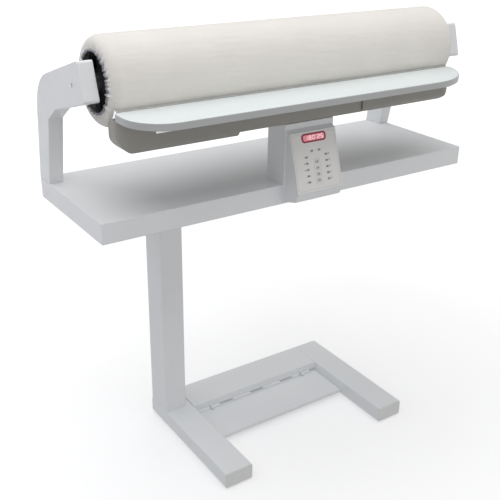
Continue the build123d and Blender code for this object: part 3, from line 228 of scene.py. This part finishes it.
def woven(name, colour, shade):
    """Plain-woven cotton: threads round the roll and along it, slubs, and a soft sheen."""
    made, tree, shader = new_material(name, 0.86, Sheen_Weight=0.25, Sheen_Roughness=0.55)
    place = node(tree, "TexCoord").outputs["Object"]
    axes = node(tree, "SeparateXYZ", {0: place})
    back = calc(tree, "SUBTRACT", axes.outputs[1], ROLL_Y * MM)
    height = calc(tree, "SUBTRACT", axes.outputs[2], ROLL_Z * MM)
    around = calc(tree, "MULTIPLY", calc(tree, "ARCTAN2", back, height), CLOTH_RADIUS)
    warp, weft = (
        calc(tree, "SINE", calc(tree, "MULTIPLY", distance, FULL_TURN / THREAD_PITCH))
        for distance in (axes.outputs[0], around)
    )
    weave = calc(tree, "MULTIPLY", warp, weft)
    slubs = noise(tree, place_of(tree, (1.0, 14.0, 14.0)), 55.0, 3.0)
    fuzz = noise(tree, place, 1500.0, 2.0)
    clouds = noise(tree, place, 9.0, 4.0)
    base = mottled(tree, clouds, colour, shade, low=0.35)
    base = tint(tree, remap(tree, slubs, 0.5, 0.8, 0.0, 0.35), base, scaled(shade, 0.9))
    base = tint(tree, remap(tree, weave, -1.0, 1.0, 0.22, 0.0), base, scaled(shade, 0.72))
    threads = calc(tree, "MULTIPLY", weave, 0.5)
    relief = calc(tree, "ADD", threads, calc(tree, "MULTIPLY", fuzz, 0.9))
    connect(
        tree, shader, Base_Color=base,
        Roughness=remap(tree, slubs, 0.3, 0.8, 0.8, 0.95),
        Normal=bump(tree, relief, 0.6, THREAD_DEPTH),
    )
    return made


def felt(name, colour, shade):
    """Needled felt: matted fibres in two sizes."""
    made, tree, shader = new_material(name, 0.95, Sheen_Weight=0.5, Sheen_Roughness=0.6)
    place = place_of(tree)
    fibres = noise(tree, place, 420.0, 6.0, 0.75)
    base = mottled(tree, noise(tree, place, 40.0, 4.0), colour, shade)
    base = tint(tree, remap(tree, fibres, 0.35, 0.65, 0.4, 0.0), base, scaled(shade, 0.65))
    connect(
        tree, shader, Base_Color=base,
        Roughness=remap(tree, fibres, 0.3, 0.7, 0.88, 1.0),
        Normal=bump(tree, fibres, 0.8, FELT_DEPTH),
    )
    return made


def glowing(name, colour, strength):
    """A lit display area: a soft glow with a fine pixel texture."""
    made, tree, shader = new_material(name, 0.35, Emission_Strength=strength)
    grain = noise(tree, place_of(tree), 1400.0, 2.0)
    lit = tint(tree, remap(tree, grain, 0.3, 0.7, 0.0, 0.3), colour, scaled(colour, 0.8))
    connect(tree, shader, Base_Color=lit, Emission_Color=lit)
    return made


# each look: its material's name, colour, shade and roughness
LOOKS = {
    "white_paint": enamel("stove_enamel_white", (0.85, 0.865, 0.875), (0.82, 0.835, 0.85), 0.36),
    "shoe_paint": enamel("shoe_enamel", (0.31, 0.30, 0.27), (0.28, 0.27, 0.245), 0.4),
    # feed plate: its sides get a painted shade
    "plate_finish": enamel(
        "feed_plate_finish", (0.80, 0.85, 0.85), (0.77, 0.82, 0.82), 0.36,
        peel=300.0, peel_depth=0.00004, painted_side_shade=(0.46, 0.47, 0.47),
    ),
    "motor_paint": enamel("motor_enamel", (0.16, 0.17, 0.19), (0.13, 0.14, 0.16), 0.4),
    "steel": metal(
        "zinc_steel", (0.60, 0.61, 0.62), (0.52, 0.53, 0.55), 0.32, factors=(0.15, 1.0, 1.0)
    ),
    "trough_metal": metal(
        "polished_trough", (0.78, 0.79, 0.80), (0.70, 0.71, 0.72), 0.16,
        factors=(0.02, 1.0, 1.0), grain=260.0,
    ),
    "heater_sheath": metal(
        "heater_sheath", (0.34, 0.32, 0.30), (0.24, 0.20, 0.18), 0.45, factors=(0.1, 1.0, 1.0)
    ),
    "cast_alloy": metal(
        "cast_alloy", (0.55, 0.56, 0.57), (0.48, 0.49, 0.50), 0.52, grain=350.0, depth=0.0002
    ),
    "cast_iron": metal(
        "cast_iron", (0.26, 0.26, 0.27), (0.20, 0.20, 0.21), 0.6, grain=420.0, depth=0.00025
    ),
    "black_alloy": metal(
        "black_alloy", (0.05, 0.05, 0.055), (0.035, 0.035, 0.04), 0.42, grain=500.0, depth=0.0001
    ),
    "bush_bronze": metal(
        "sintered_bronze", (0.56, 0.40, 0.20), (0.46, 0.32, 0.16), 0.38, grain=700.0, depth=0.0001
    ),
    "panel_skin": plastic(
        "panel_film", (0.89, 0.88, 0.86), (0.86, 0.85, 0.83), 0.5, texture=1600.0, depth=0.00002
    ),
    "foot_rubber": plastic(
        "foot_rubber", (0.035, 0.035, 0.036), (0.05, 0.048, 0.046), 0.78,
        texture=500.0, depth=0.0001,
    ),
    "grey_plastic": plastic("end_cap_plastic", (0.78, 0.79, 0.78), (0.74, 0.75, 0.74), 0.45),
    "dark_plastic": plastic("dark_plastic", (0.05, 0.05, 0.055), (0.07, 0.07, 0.075), 0.48),
    "display_red": plastic(
        "red_window", (0.42, 0.035, 0.07), (0.36, 0.03, 0.06), 0.16,
        texture=300.0, depth=0.00001, Coat_Weight=0.6, Coat_Roughness=0.05,
    ),
    "lens_grey": plastic(
        "smoke_lens", (0.20, 0.19, 0.22), (0.16, 0.155, 0.18), 0.2, texture=900.0, depth=0.00002
    ),
    "button_grey": plastic(
        "button_caps", (0.70, 0.70, 0.72), (0.66, 0.66, 0.69), 0.42, texture=1200.0
    ),
    "board_green": plastic(
        "circuit_board", (0.03, 0.16, 0.07), (0.02, 0.11, 0.05), 0.35, texture=1500.0
    ),
    "cotton_cloth": woven("cotton_weave", (0.88, 0.85, 0.80), (0.84, 0.805, 0.755)),
    "felt_padding": felt("needled_felt", (0.66, 0.63, 0.57), (0.58, 0.55, 0.49)),
}
# painted shade: the hem is dark grey, for the shade inside the gathered mouth
SHADED_HEM_CLOTH = woven("shaded_hem_weave", (0.40, 0.40, 0.44), (0.26, 0.26, 0.30))
PALE_PRINT, DARK_PRINT = (
    plastic(name, colour, shade, 0.55, texture=1500.0, depth=0.00001)
    for name, colour, shade in (
        ("pale_print", (0.52, 0.52, 0.53), (0.48, 0.48, 0.50)),
        ("dark_print", (0.06, 0.06, 0.075), (0.09, 0.09, 0.10)),
    )
)
SCREEN_GLOW = glowing("display_glow", (0.86, 0.30, 0.36), 0.25)
DIGIT_GLOW = glowing("display_digits", (1.0, 0.72, 0.74), 0.7)

for part in frame["record"]["subparts"]:
    cad = frame["nodes"].get(part["node"])
    if cad is None:
        continue
    cad.data.materials.clear()
    cad.data.materials.append(LOOKS[part["material_slot"]])


# ======================================================================
# Mesh helpers
# ======================================================================
def piece(name, points, faces, look, body, smooth=True):
    """A mesh object in the frame, in metres, that rides on a body."""
    mesh = bpy.data.meshes.new(name)
    mesh.from_pydata([tuple(point) for point in points], [], faces)
    mesh.update()
    work = bmesh.new()
    work.from_mesh(mesh)
    bmesh.ops.recalc_face_normals(work, faces=work.faces)
    work.to_mesh(mesh)
    work.free()
    if smooth:
        mesh.shade_smooth()
    else:
        mesh.shade_flat()
    made = bpy.data.objects.new(name, mesh)
    scene.collection.objects.link(made)
    mesh.materials.append(look)
    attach(made, body)
    return made


def wrapped(rows, columns, close_rows, start=0):
    """The faces of a grid that closes round its columns, and if asked round its rows too."""
    faces = []
    for row in range(rows if close_rows else rows - 1):
        here, there = start + row * columns, start + (row + 1) % rows * columns
        for column in range(columns):
            beside = (column + 1) % columns
            faces.append((here + column, here + beside, there + beside, there + column))
    return faces


def angles(count):
    """Evenly spaced angles all the way round."""
    return np.linspace(0, FULL_TURN, count, endpoint=False)


def around_roll(x, radius, turn):
    """Points in metres, from distances in mm and turns from straight up towards the back."""
    y = ROLL_Y + radius * np.sin(turn)
    z = ROLL_Z + radius * np.cos(turn)
    return np.stack([x, y, z], axis=-1) * MM


def waves(turn, x, terms):
    """A smooth uneven wave round the roll: each term is (count, along, phase, size)."""
    total = np.zeros(np.broadcast(turn, x).shape)
    for count, along, phase, size in terms:
        total = total + size * np.sin(count * turn + along * x + phase)
    return total


def shell(outer, inner):
    """A closed skin from an outer and an inner grid of one shape, closed round their columns."""
    rows, columns = outer.shape[:2]
    grid = np.concatenate([outer, inner[::-1]], axis=0)
    return grid.reshape(-1, 3), wrapped(2 * rows, columns, True)


# ======================================================================
# Roll: cotton cover with gathered ends, over a felt sleeve (in mm)
# ======================================================================
ROLL_LEFT, ROLL_RIGHT = -456.0, 440.0
LEFT_EDGE, RIGHT_EDGE = 24.0, 13.0
COVER_RADIUS = 90.0
COVER_CLOTH = 0.8
COVER_TURNS = 360
MOUTH_ROWS, EDGE_ROWS, BARREL_ROWS = 12, 15, 120

# gathers at the cover's mouth, and how far they pull at its barrel
GATHER_RADIUS = 80.0
GATHERS = [(31, 0.0, 0.4, 0.55), (43, 0.0, 2.1, 0.45), (58, 0.0, 4.4, 0.35), (17, 0.0, 1.3, 0.3)]
GATHER_SIZE = 1.3
FOLD_DEPTH = 3.6
FOLD_LIFT = 0.7
MOUTH_CURVE = 1.2
MOUTH_SINK = 2.4
END_SINK = 0.35
PULL_REACH = 16.0
PULL_DEPTH = 0.55

# creases along the barrel
CREASES = [
    (9, 0.021, 0.3, 0.16), (14, -0.016, 1.9, 0.14), (22, 0.034, 3.1, 0.10), (31, -0.027, 5.2, 0.08),
    (5, 0.011, 2.4, 0.20), (40, 0.05, 0.9, 0.05), (3, -0.038, 4.1, 0.12),
]
STEADY_CREASE, CHANGING_CREASE = 0.55, 0.45
CREASE_CYCLE, CREASE_PHASE = 0.013, 1.0
BARREL_SINK = 0.1
DEEPEST_CREASE = 0.85

# channel of the drawcord
HEM_RADIUS = 62.0
HEM_TURNS, HEM_SIDES = 480, 14
HEM_THICKNESS = 2.3
HEM_BUNCHES = [(74, 0.0, 0.2, 0.22), (61, 0.0, 1.7, 0.2), (97, 0.0, 3.0, 0.12)]
HEM_INSET, HEM_SWAY = 1.9, 2.6
HEM_DROP, HEM_LIFT = 1.2, 0.5

# felt sleeve
SLEEVE_INNER = 80.2
SLEEVE_EDGE = 11.0
SLEEVE_START = math.radians(20)
SLEEVE_TURNS = 144
SLEEVE_EDGE_ROWS, SLEEVE_ROWS = 8, 45
SLEEVE_CREASE = 0.8


def cover_half(end, edge):
    """One half of the cover's outer line, from its hem to the middle, as rows of (x, radius)."""
    side = math.copysign(1.0, end)
    start_x, start_radius = end - side * edge, COVER_RADIUS - edge
    flat = [(end, radius) for radius in np.linspace(HEM_RADIUS, start_radius, MOUTH_ROWS)]
    bend = [
        (start_x + side * edge * math.cos(turn), start_radius + edge * math.sin(turn))
        for turn in np.linspace(0, math.pi / 2, EDGE_ROWS)[1:]
    ]
    return flat + bend + [(x, COVER_RADIUS) for x in np.linspace(start_x, 0, BARREL_ROWS)[1:]]


def cover_surface(inward):
    """The cover's points with its folds and creases, drawn inwards by the given thickness."""
    line = np.array(cover_half(ROLL_LEFT, LEFT_EDGE) + cover_half(ROLL_RIGHT, RIGHT_EDGE)[-2::-1])
    turn = angles(COVER_TURNS)[None, :]
    x, radius = line[:, :1], line[:, 1:]
    side = np.sign(x)
    edge = np.where(x < 0, LEFT_EDGE, RIGHT_EDGE)
    from_end = np.where(x < 0, x - ROLL_LEFT, ROLL_RIGHT - x)
    near_mouth = np.clip((GATHER_RADIUS - radius) / (GATHER_RADIUS - HEM_RADIUS), 0, 1)
    mouth = near_mouth ** MOUTH_CURVE
    barrel = np.clip((radius - (COVER_RADIUS - edge)) / edge, 0, 1)
    gathers = waves(turn, x, GATHERS)
    depth = gathers / GATHER_SIZE * FOLD_DEPTH * mouth - MOUTH_SINK * mouth - END_SINK
    cycle = np.sin(CREASE_CYCLE * x + CREASE_PHASE) ** 2
    change = STEADY_CREASE + CHANGING_CREASE * cycle
    creases = np.abs(waves(turn, x, CREASES)) * change
    pull = np.clip(gathers, 0, 1) * np.exp(-from_end / PULL_REACH) * PULL_DEPTH
    sunk = np.minimum(barrel * (creases + pull) + BARREL_SINK, DEEPEST_CREASE)
    moved_x = x + side * depth * (1 - barrel ** 4) - side * inward * (1 - barrel)
    moved_radius = radius - sunk - inward * barrel + gathers * FOLD_LIFT * mouth
    return around_roll(moved_x, moved_radius, turn)


def sleeve_profile():
    """The sleeve's outer line as (x, radius), with its ends rounded just inside the cover's."""
    start_x, start_radius = ROLL_RIGHT - RIGHT_EDGE, COVER_RADIUS - RIGHT_EDGE
    bend = [
        (start_x + SLEEVE_EDGE * math.cos(turn), start_radius + SLEEVE_EDGE * math.sin(turn))
        for turn in np.linspace(SLEEVE_START, math.pi / 2, SLEEVE_EDGE_ROWS)
    ]
    barrel = np.linspace(start_x, 0, SLEEVE_ROWS)[1:]
    half = bend + [(x, start_radius + SLEEVE_EDGE) for x in barrel]
    return np.array([(-x, radius) for x, radius in half] + half[-2::-1])


def sleeve_surface(outer):
    """The sleeve's creased outer points, or its plain inner ones."""
    turn = angles(SLEEVE_TURNS)[None, :]
    line = sleeve_profile()
    x, radius = line[:, :1] + 0 * turn, line[:, 1:] + 0 * turn
    if outer:
        full = np.clip((radius - SLEEVE_INNER) / SLEEVE_EDGE, 0, 1)
        radius = radius - np.abs(waves(turn, x, CREASES)) * SLEEVE_CREASE * full
    else:
        radius = SLEEVE_INNER + 0 * radius
    return around_roll(x, radius, turn)


def hem(end, name):
    """The rolled channel at the cover's mouth, bunched on its drawcord."""
    turn = angles(HEM_TURNS)[None, :]
    section = angles(HEM_SIDES)[:, None]
    thick = HEM_THICKNESS + waves(turn, 0, HEM_BUNCHES)
    folds = waves(turn, 0, GATHERS) / GATHER_SIZE
    side = math.copysign(1.0, end)
    x = end - side * HEM_INSET + side * HEM_SWAY * folds + thick * np.cos(section)
    radius = HEM_RADIUS - HEM_DROP + HEM_LIFT * folds + thick * np.sin(section)
    points = around_roll(x, radius, turn).reshape(-1, 3)
    faces = wrapped(HEM_SIDES, HEM_TURNS, True)
    return piece(name, points, faces, SHADED_HEM_CLOTH, "roll")


points, faces = shell(cover_surface(0.0), cover_surface(COVER_CLOTH))
cotton_cover = piece(
    "cotton_cover", points, faces, LOOKS["cotton_cloth"], "roll"
)
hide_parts("roll_cover")

points, faces = shell(sleeve_surface(True), sleeve_surface(False))
felt_sleeve = piece("felt_sleeve", points, faces, LOOKS["felt_padding"], "roll")
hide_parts("roll_padding")

left_hem = hem(ROLL_LEFT, "left_cover_hem")
right_hem = hem(ROLL_RIGHT, "right_cover_hem")


# ======================================================================
# Pedal return springs, which the pedal squeezes against the rail (in mm)
# ======================================================================
SPRING_X = 100.0
SPRING_Y = 93.0
SPRING_LOW, SPRING_HIGH = 22.3, 41.7
SPRING_RADIUS = 5.58
SPRING_WIRE = 0.42
SPRING_TURNS = 5
STEPS_A_TURN = 32
SPRING_SIDES = 12


def coil(x):
    """The points of one wound spring, a row for each step along its wire."""
    turn = np.linspace(0, FULL_TURN * SPRING_TURNS, STEPS_A_TURN * SPRING_TURNS)
    outward = np.stack([np.cos(turn), np.sin(turn), 0 * turn], axis=-1)
    rise = np.linspace(SPRING_LOW + SPRING_WIRE, SPRING_HIGH - SPRING_WIRE, len(turn))
    axis = np.stack([x + 0 * turn, SPRING_Y + 0 * turn, rise], axis=-1)
    middle = outward * SPRING_RADIUS + axis
    along = np.gradient(middle, axis=0)
    along = along / np.linalg.norm(along, axis=1, keepdims=True)
    upward = np.cross(along, outward)
    section = angles(SPRING_SIDES)[None, :, None]
    wire = np.cos(section) * outward[:, None] + np.sin(section) * upward[:, None]
    return middle[:, None] + SPRING_WIRE * wire


points, faces = [], []
for x in (-SPRING_X, SPRING_X):
    grid = coil(x)
    rows, start = len(grid), len(points)
    points.extend(grid.reshape(-1, 3) * MM)
    faces.extend(wrapped(rows, SPRING_SIDES, False, start))
    faces.append(tuple(start + i for i in reversed(range(SPRING_SIDES))))
    faces.append(tuple(start + (rows - 1) * SPRING_SIDES + i for i in range(SPRING_SIDES)))
return_springs = piece("return_springs", points, faces, LOOKS["steel"], "stand")
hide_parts("pedal_springs")
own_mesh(return_springs)


# ======================================================================
# Control panel: lit digits, printed marks and button symbols (in mm)
# ======================================================================
PANEL_ORIGIN = np.array([0.0, -124.0, 806.0])
PANEL_SET_BACK, PANEL_RISE = 39.0, 126.0
PANEL_SLOPE = math.hypot(PANEL_SET_BACK, PANEL_RISE)
PANEL_UP = np.array([0.0, PANEL_SET_BACK, PANEL_RISE]) / PANEL_SLOPE
PANEL_OUT = np.array([0.0, -PANEL_RISE, PANEL_SET_BACK]) / PANEL_SLOPE


def on_panel(x, row, out):
    """A point in metres, from mm across the panel, down from its top edge and out of its face."""
    return (PANEL_ORIGIN + np.array([x, 0.0, 0.0]) - PANEL_UP * row + PANEL_OUT * out) * MM


def band(faces, start, count, layer, other):
    """Adds the faces between two layers of a stack of outlines, each with count points."""
    here, there = start + layer * count, start + other * count
    for i in range(count):
        j = (i + 1) % count
        faces.append((here + i, here + j, there + j, there + i))


def prism(points, faces, outline, low, high):
    """Adds a flat plate with an outline of (x, row) points, between two heights on the panel."""
    start, count = len(points), len(outline)
    for out in (low, high):
        points.extend(on_panel(x, row, out) for x, row in outline)
    faces.append(tuple(start + i for i in range(count)))
    faces.append(tuple(start + count + i for i in reversed(range(count))))
    band(faces, start, count, 1, 0)


def ring(points, faces, outline, thickness, low, high):
    """Adds an outline's frame: a thin band inside the outline of (x, row) points."""
    centre = np.mean(outline, axis=0)
    away = np.array(outline) - centre
    inner = centre + away * (1 - thickness / np.abs(away).max(axis=0))
    start, count = len(points), len(outline)
    for path, out in ((outline, low), (inner, low), (inner, high), (outline, high)):
        points.extend(on_panel(x, row, out) for x, row in path)
    for layer in range(4):
        band(faces, start, count, layer, (layer + 1) % 4)


def rounded_box(x, row, width, height, radius, steps=5):
    """The outline of a rectangle with rounded corners."""
    outline = []
    for corner, (sx, sy) in enumerate(((1, 1), (-1, 1), (-1, -1), (1, -1))):
        centre_x = x + sx * (width / 2 - radius)
        centre_row = row + sy * (height / 2 - radius)
        for step in range(steps + 1):
            turn = math.pi / 2 * (corner + step / steps)
            outline.append(
                (centre_x + radius * math.cos(turn), centre_row + radius * math.sin(turn))
            )
    return outline


def disc(x, row, radius, steps=18):
    """The outline of a round spot."""
    turns = [FULL_TURN * step / steps for step in range(steps)]
    return [(x + radius * math.cos(turn), row + radius * math.sin(turn)) for turn in turns]


DISPLAY_FACE = 0.6
DISPLAY_ROW = 14.0
SCREEN_BOX = rounded_box(0, DISPLAY_ROW, 58.0, 12.5, 3.5)
SCREEN_LOW, SCREEN_HIGH = DISPLAY_FACE - 0.1, DISPLAY_FACE + 0.08
DIGIT_HIGH = DISPLAY_FACE + 0.16
DIGIT_WIDTH, DIGIT_HEIGHT = 5.6, 8.0
DIGIT_BAR, DIGIT_GAP = 1.5, 0.35
READOUT = (("1", -20.0), ("8", -10.5), ("0", -1.0), ("2", 13.0), ("5", 22.0))
DEGREE_SPOT = disc(4.6, 9.8, 0.9)
SEGMENTS = {"0": "abcdef", "1": "bc", "2": "abged", "5": "afgcd", "8": "abcdefg"}


def digit(points, faces, sign, x):
    """Adds one seven-segment digit, made of tapered bars."""
    row, side, half = DISPLAY_ROW, DIGIT_WIDTH / 2, DIGIT_HEIGHT / 2
    level_bars = {"a": (x, row - half), "g": (x, row), "d": (x, row + half)}
    upright_bars = {
        "f": (x - side, row - half / 2), "b": (x + side, row - half / 2),
        "e": (x - side, row + half / 2), "c": (x + side, row + half / 2),
    }
    tip = DIGIT_BAR / 2
    for name in SEGMENTS[sign]:
        level = name in level_bars
        centre_x, centre_row = level_bars[name] if level else upright_bars[name]
        reach = (DIGIT_WIDTH if level else half) / 2 - DIGIT_GAP
        bar = [
            (-reach, 0), (-reach + tip, -tip), (reach - tip, -tip),
            (reach, 0), (reach - tip, tip), (-reach + tip, tip),
        ]
        if not level:
            bar = [(-down, along) for along, down in bar]
        outline = [(centre_x + dx, centre_row + dy) for dx, dy in bar]
        prism(points, faces, outline, DISPLAY_FACE, DIGIT_HIGH)


points, faces = [], []
prism(points, faces, SCREEN_BOX, SCREEN_LOW, SCREEN_HIGH)
piece("display_screen", points, faces, SCREEN_GLOW, "stand", smooth=False)

points, faces = [], []
for sign, x in READOUT:
    digit(points, faces, sign, x)
prism(points, faces, DEGREE_SPOT, DISPLAY_FACE, DIGIT_HIGH)
piece("display_digits", points, faces, DIGIT_GLOW, "stand", smooth=False)

ROW_STEP = 13.7
FIRST_MARK_ROW, FIRST_BUTTON_ROW = 55.0, 68.0
MARK_ROWS = [FIRST_MARK_ROW + ROW_STEP * number for number in range(5)]
BUTTON_ROWS = [FIRST_BUTTON_ROW + ROW_STEP * number for number in range(4)]
TOP_LENS_ROW, TOP_LENS_X = 43.0, 10.0
LENS_X, MARK_X = 27.0, 34.5
LENS_BOX = (7.6, 4.8, 1.8)
LENS_LINE = 0.5
DOT_STEP, DOT_RADIUS = 1.8, 0.7
BAR_HEIGHT, BAR_CORNER = 0.8, 0.3
BAR_SPREAD = 1.0
LONG_BAR, SHORT_BAR = 5.0, 3.4
SHORT_BAR_STEP, SHORT_BAR_SHIFT = 0.4, 0.8
PRINT_HEIGHTS = (-0.05, 0.06)

points, faces = [], []
for side in (-1, 1):
    x = side * MARK_X
    for number, row in enumerate(MARK_ROWS):
        lens = rounded_box(side * LENS_X, row, *LENS_BOX)
        ring(points, faces, lens, LENS_LINE, *PRINT_HEIGHTS)
        if side < 0:
            dots = range(number % 3 + 1)
            marks = [disc(x - DOT_STEP * (dot - 1), row, DOT_RADIUS) for dot in dots]
        else:
            short = SHORT_BAR - SHORT_BAR_STEP * number
            marks = [
                rounded_box(x, row - BAR_SPREAD, LONG_BAR, BAR_HEIGHT, BAR_CORNER),
                rounded_box(
                    x - SHORT_BAR_SHIFT, row + BAR_SPREAD, short, BAR_HEIGHT, BAR_CORNER
                ),
            ]
        for mark in marks:
            prism(points, faces, mark, *PRINT_HEIGHTS)
    lens = rounded_box(side * TOP_LENS_X, TOP_LENS_ROW, *LENS_BOX)
    ring(points, faces, lens, LENS_LINE, *PRINT_HEIGHTS)
piece("panel_prints", points, faces, DARK_PRINT, "stand", smooth=False)

BUTTON_FRAME = rounded_box(0, 88.5, 17.0, 56.0, 4.0)
PANEL_FRAME = rounded_box(0, 65.9, 116.0, 123.0, 5.0)
BUTTON_FRAME_LINE, PANEL_FRAME_LINE = 0.45, 0.5
points, faces = [], []
ring(points, faces, BUTTON_FRAME, BUTTON_FRAME_LINE, *PRINT_HEIGHTS)
ring(points, faces, PANEL_FRAME, PANEL_FRAME_LINE, *PRINT_HEIGHTS)
piece("panel_outlines", points, faces, PALE_PRINT, "stand", smooth=False)

BUTTON_FACE = 1.4
SYMBOL_HEIGHTS = (BUTTON_FACE - 0.05, BUTTON_FACE + 0.08)
STROKE_HEIGHTS = (SYMBOL_HEIGHTS[0] + 0.02, SYMBOL_HEIGHTS[1] + 0.04)
ARROW_SIDE, ARROW_FOOT, ARROW_TIP = 2.2, 1.4, 1.8
TARGET_RADIUS, TARGET_LINE, TARGET_SPOT = 2.1, 0.7, 0.6
POWER_RADIUS, POWER_LINE = 2.2, 0.6
STROKE_RISE = 1.6
STROKE_BOX = (0.8, 2.4, 0.3)


def arrow(row, down):
    """The outline of an arrow head, which points down the panel for 1 and up for -1."""
    foot = row - down * ARROW_FOOT
    return [(-ARROW_SIDE, foot), (0.0, row + down * ARROW_TIP), (ARROW_SIDE, foot)]


def symbol(number, row):
    """The mark on one button's cap: arrow up, arrow down, spot in a ring, or power sign."""
    points, faces = [], []
    if number == 1:
        prism(points, faces, arrow(row, -1), *SYMBOL_HEIGHTS)
    elif number == 2:
        prism(points, faces, arrow(row, 1), *SYMBOL_HEIGHTS)
    elif number == 3:
        ring(points, faces, disc(0.0, row, TARGET_RADIUS), TARGET_LINE, *SYMBOL_HEIGHTS)
        prism(points, faces, disc(0.0, row, TARGET_SPOT), *SYMBOL_HEIGHTS)
    else:
        ring(points, faces, disc(0.0, row, POWER_RADIUS), POWER_LINE, *SYMBOL_HEIGHTS)
        stroke = rounded_box(0.0, row - STROKE_RISE, *STROKE_BOX)
        prism(points, faces, stroke, *STROKE_HEIGHTS)
    name, body = f"button_{number}_symbol", f"button_{number}"
    piece(name, points, faces, DARK_PRINT, body, smooth=False)


for number, row in enumerate(BUTTON_ROWS, start=1):
    symbol(number, row)


# ======================================================================
# Floor, light and camera
# ======================================================================
FLOOR_RADIUS = 30.0
FLOOR_SIDES = 96
GLOW_START, GLOW_FULL = 0.8, 4.0
GLOW_NEAR, GLOW_FAR = 0.30, 0.80
FADE_START, FADE_END = 13.0, 29.0
FADED_SHARE = 0.08
WORLD_STRENGTH = 0.45
WHITE = (1.0, 1.0, 1.0, 1.0)

# fitted to the photo's straight edges
CAMERA_PLACE = (-1.0561, -1.4434, 1.2777)
PITCH, ROLL, YAW = -0.4238, -0.0156, -0.5963
FOCAL_PIXELS = 792.2447
FRAME_PIXELS = 500.0
SENSOR_WIDTH = 36.0
NEAR_CLIP, FAR_CLIP = 0.05, 200.0


def floor():
    """A pale floor that glows more away from the object, and fades out towards the horizon."""
    mesh = bpy.data.meshes.new("floor")
    work = bmesh.new()
    bmesh.ops.create_circle(work, cap_ends=True, segments=FLOOR_SIDES, radius=FLOOR_RADIUS)
    work.to_mesh(mesh)
    work.free()
    made = bpy.data.objects.new("floor", mesh)
    scene.collection.objects.link(made)
    look, tree, shader = new_material("pale_floor", 0.85, Emission_Color=WHITE)
    place = place_of(tree)
    base = tint(tree, noise(tree, place, 30.0, 4.0), (0.86, 0.86, 0.86), (0.88, 0.88, 0.88))
    distance = node(tree, "VectorMath", {0: place}, operation="LENGTH").outputs["Value"]
    glow = remap(tree, distance, GLOW_START, GLOW_FULL, GLOW_NEAR, GLOW_FAR)
    fade = remap(tree, distance, FADE_START, FADE_END, 1.0, FADED_SHARE)
    strength = calc(tree, "MULTIPLY", glow, fade)
    connect(tree, shader, Base_Color=base, Emission_Strength=strength)
    mesh.materials.append(look)
    made.visible_diffuse = False


def soft_light(name, place, target, size, watts, colour):
    """A rectangular light that faces its target."""
    data = bpy.data.lights.new(name, "AREA")
    data.shape = "RECTANGLE"
    data.size, data.size_y = size
    data.energy = watts
    data.color = colour
    made = bpy.data.objects.new(name, data)
    scene.collection.objects.link(made)
    made.location = place
    made.rotation_mode = "QUATERNION"
    made.rotation_quaternion = (Vector(target) - Vector(place)).to_track_quat("-Z", "Y")


floor()
soft_light(
    "overhead", (-0.4, 0.0, 3.3), target=(0.0, 0.0, 0.6),
    size=(4.4, 3.6), watts=66.0, colour=(1.0, 1.0, 1.0),
)
soft_light(
    "left_fill", (-3.2, -0.2, 2.4), target=(-0.3, 0.0, 0.9),
    size=(2.0, 1.6), watts=7.0, colour=(0.56, 0.66, 1.0),
)
soft_light(
    "front_fill", (0.6, -4.0, 1.3), target=(0.0, 0.0, 0.7),
    size=(3.0, 2.0), watts=10.0, colour=(1.0, 0.985, 0.94),
)

world = bpy.data.worlds.new("studio")
scene.world = world
world.use_nodes = True
sky = world.node_tree.nodes["Background"]
sky.inputs["Color"].default_value = WHITE
sky.inputs["Strength"].default_value = WORLD_STRENGTH
scene.view_settings.view_transform = "Standard"
scene.view_settings.look = "None"

camera_data = bpy.data.cameras.new("photo_camera")
camera = bpy.data.objects.new("photo_camera", camera_data)
scene.collection.objects.link(camera)
camera_data.sensor_width = SENSOR_WIDTH
camera_data.lens = FOCAL_PIXELS / FRAME_PIXELS * SENSOR_WIDTH
camera_data.clip_start, camera_data.clip_end = NEAR_CLIP, FAR_CLIP
yaw, pitch, roll = (
    Matrix.Rotation(angle, 4, axis) for angle, axis in ((YAW, "Z"), (PITCH, "X"), (ROLL, "Y"))
)
turned = yaw @ pitch @ roll
right, forward, up = (turned.col[i].to_3d() for i in range(3))
facing = Matrix((right, up, -forward)).transposed().to_4x4()
camera.matrix_world = Matrix.Translation(CAMERA_PLACE) @ facing
scene.camera = camera
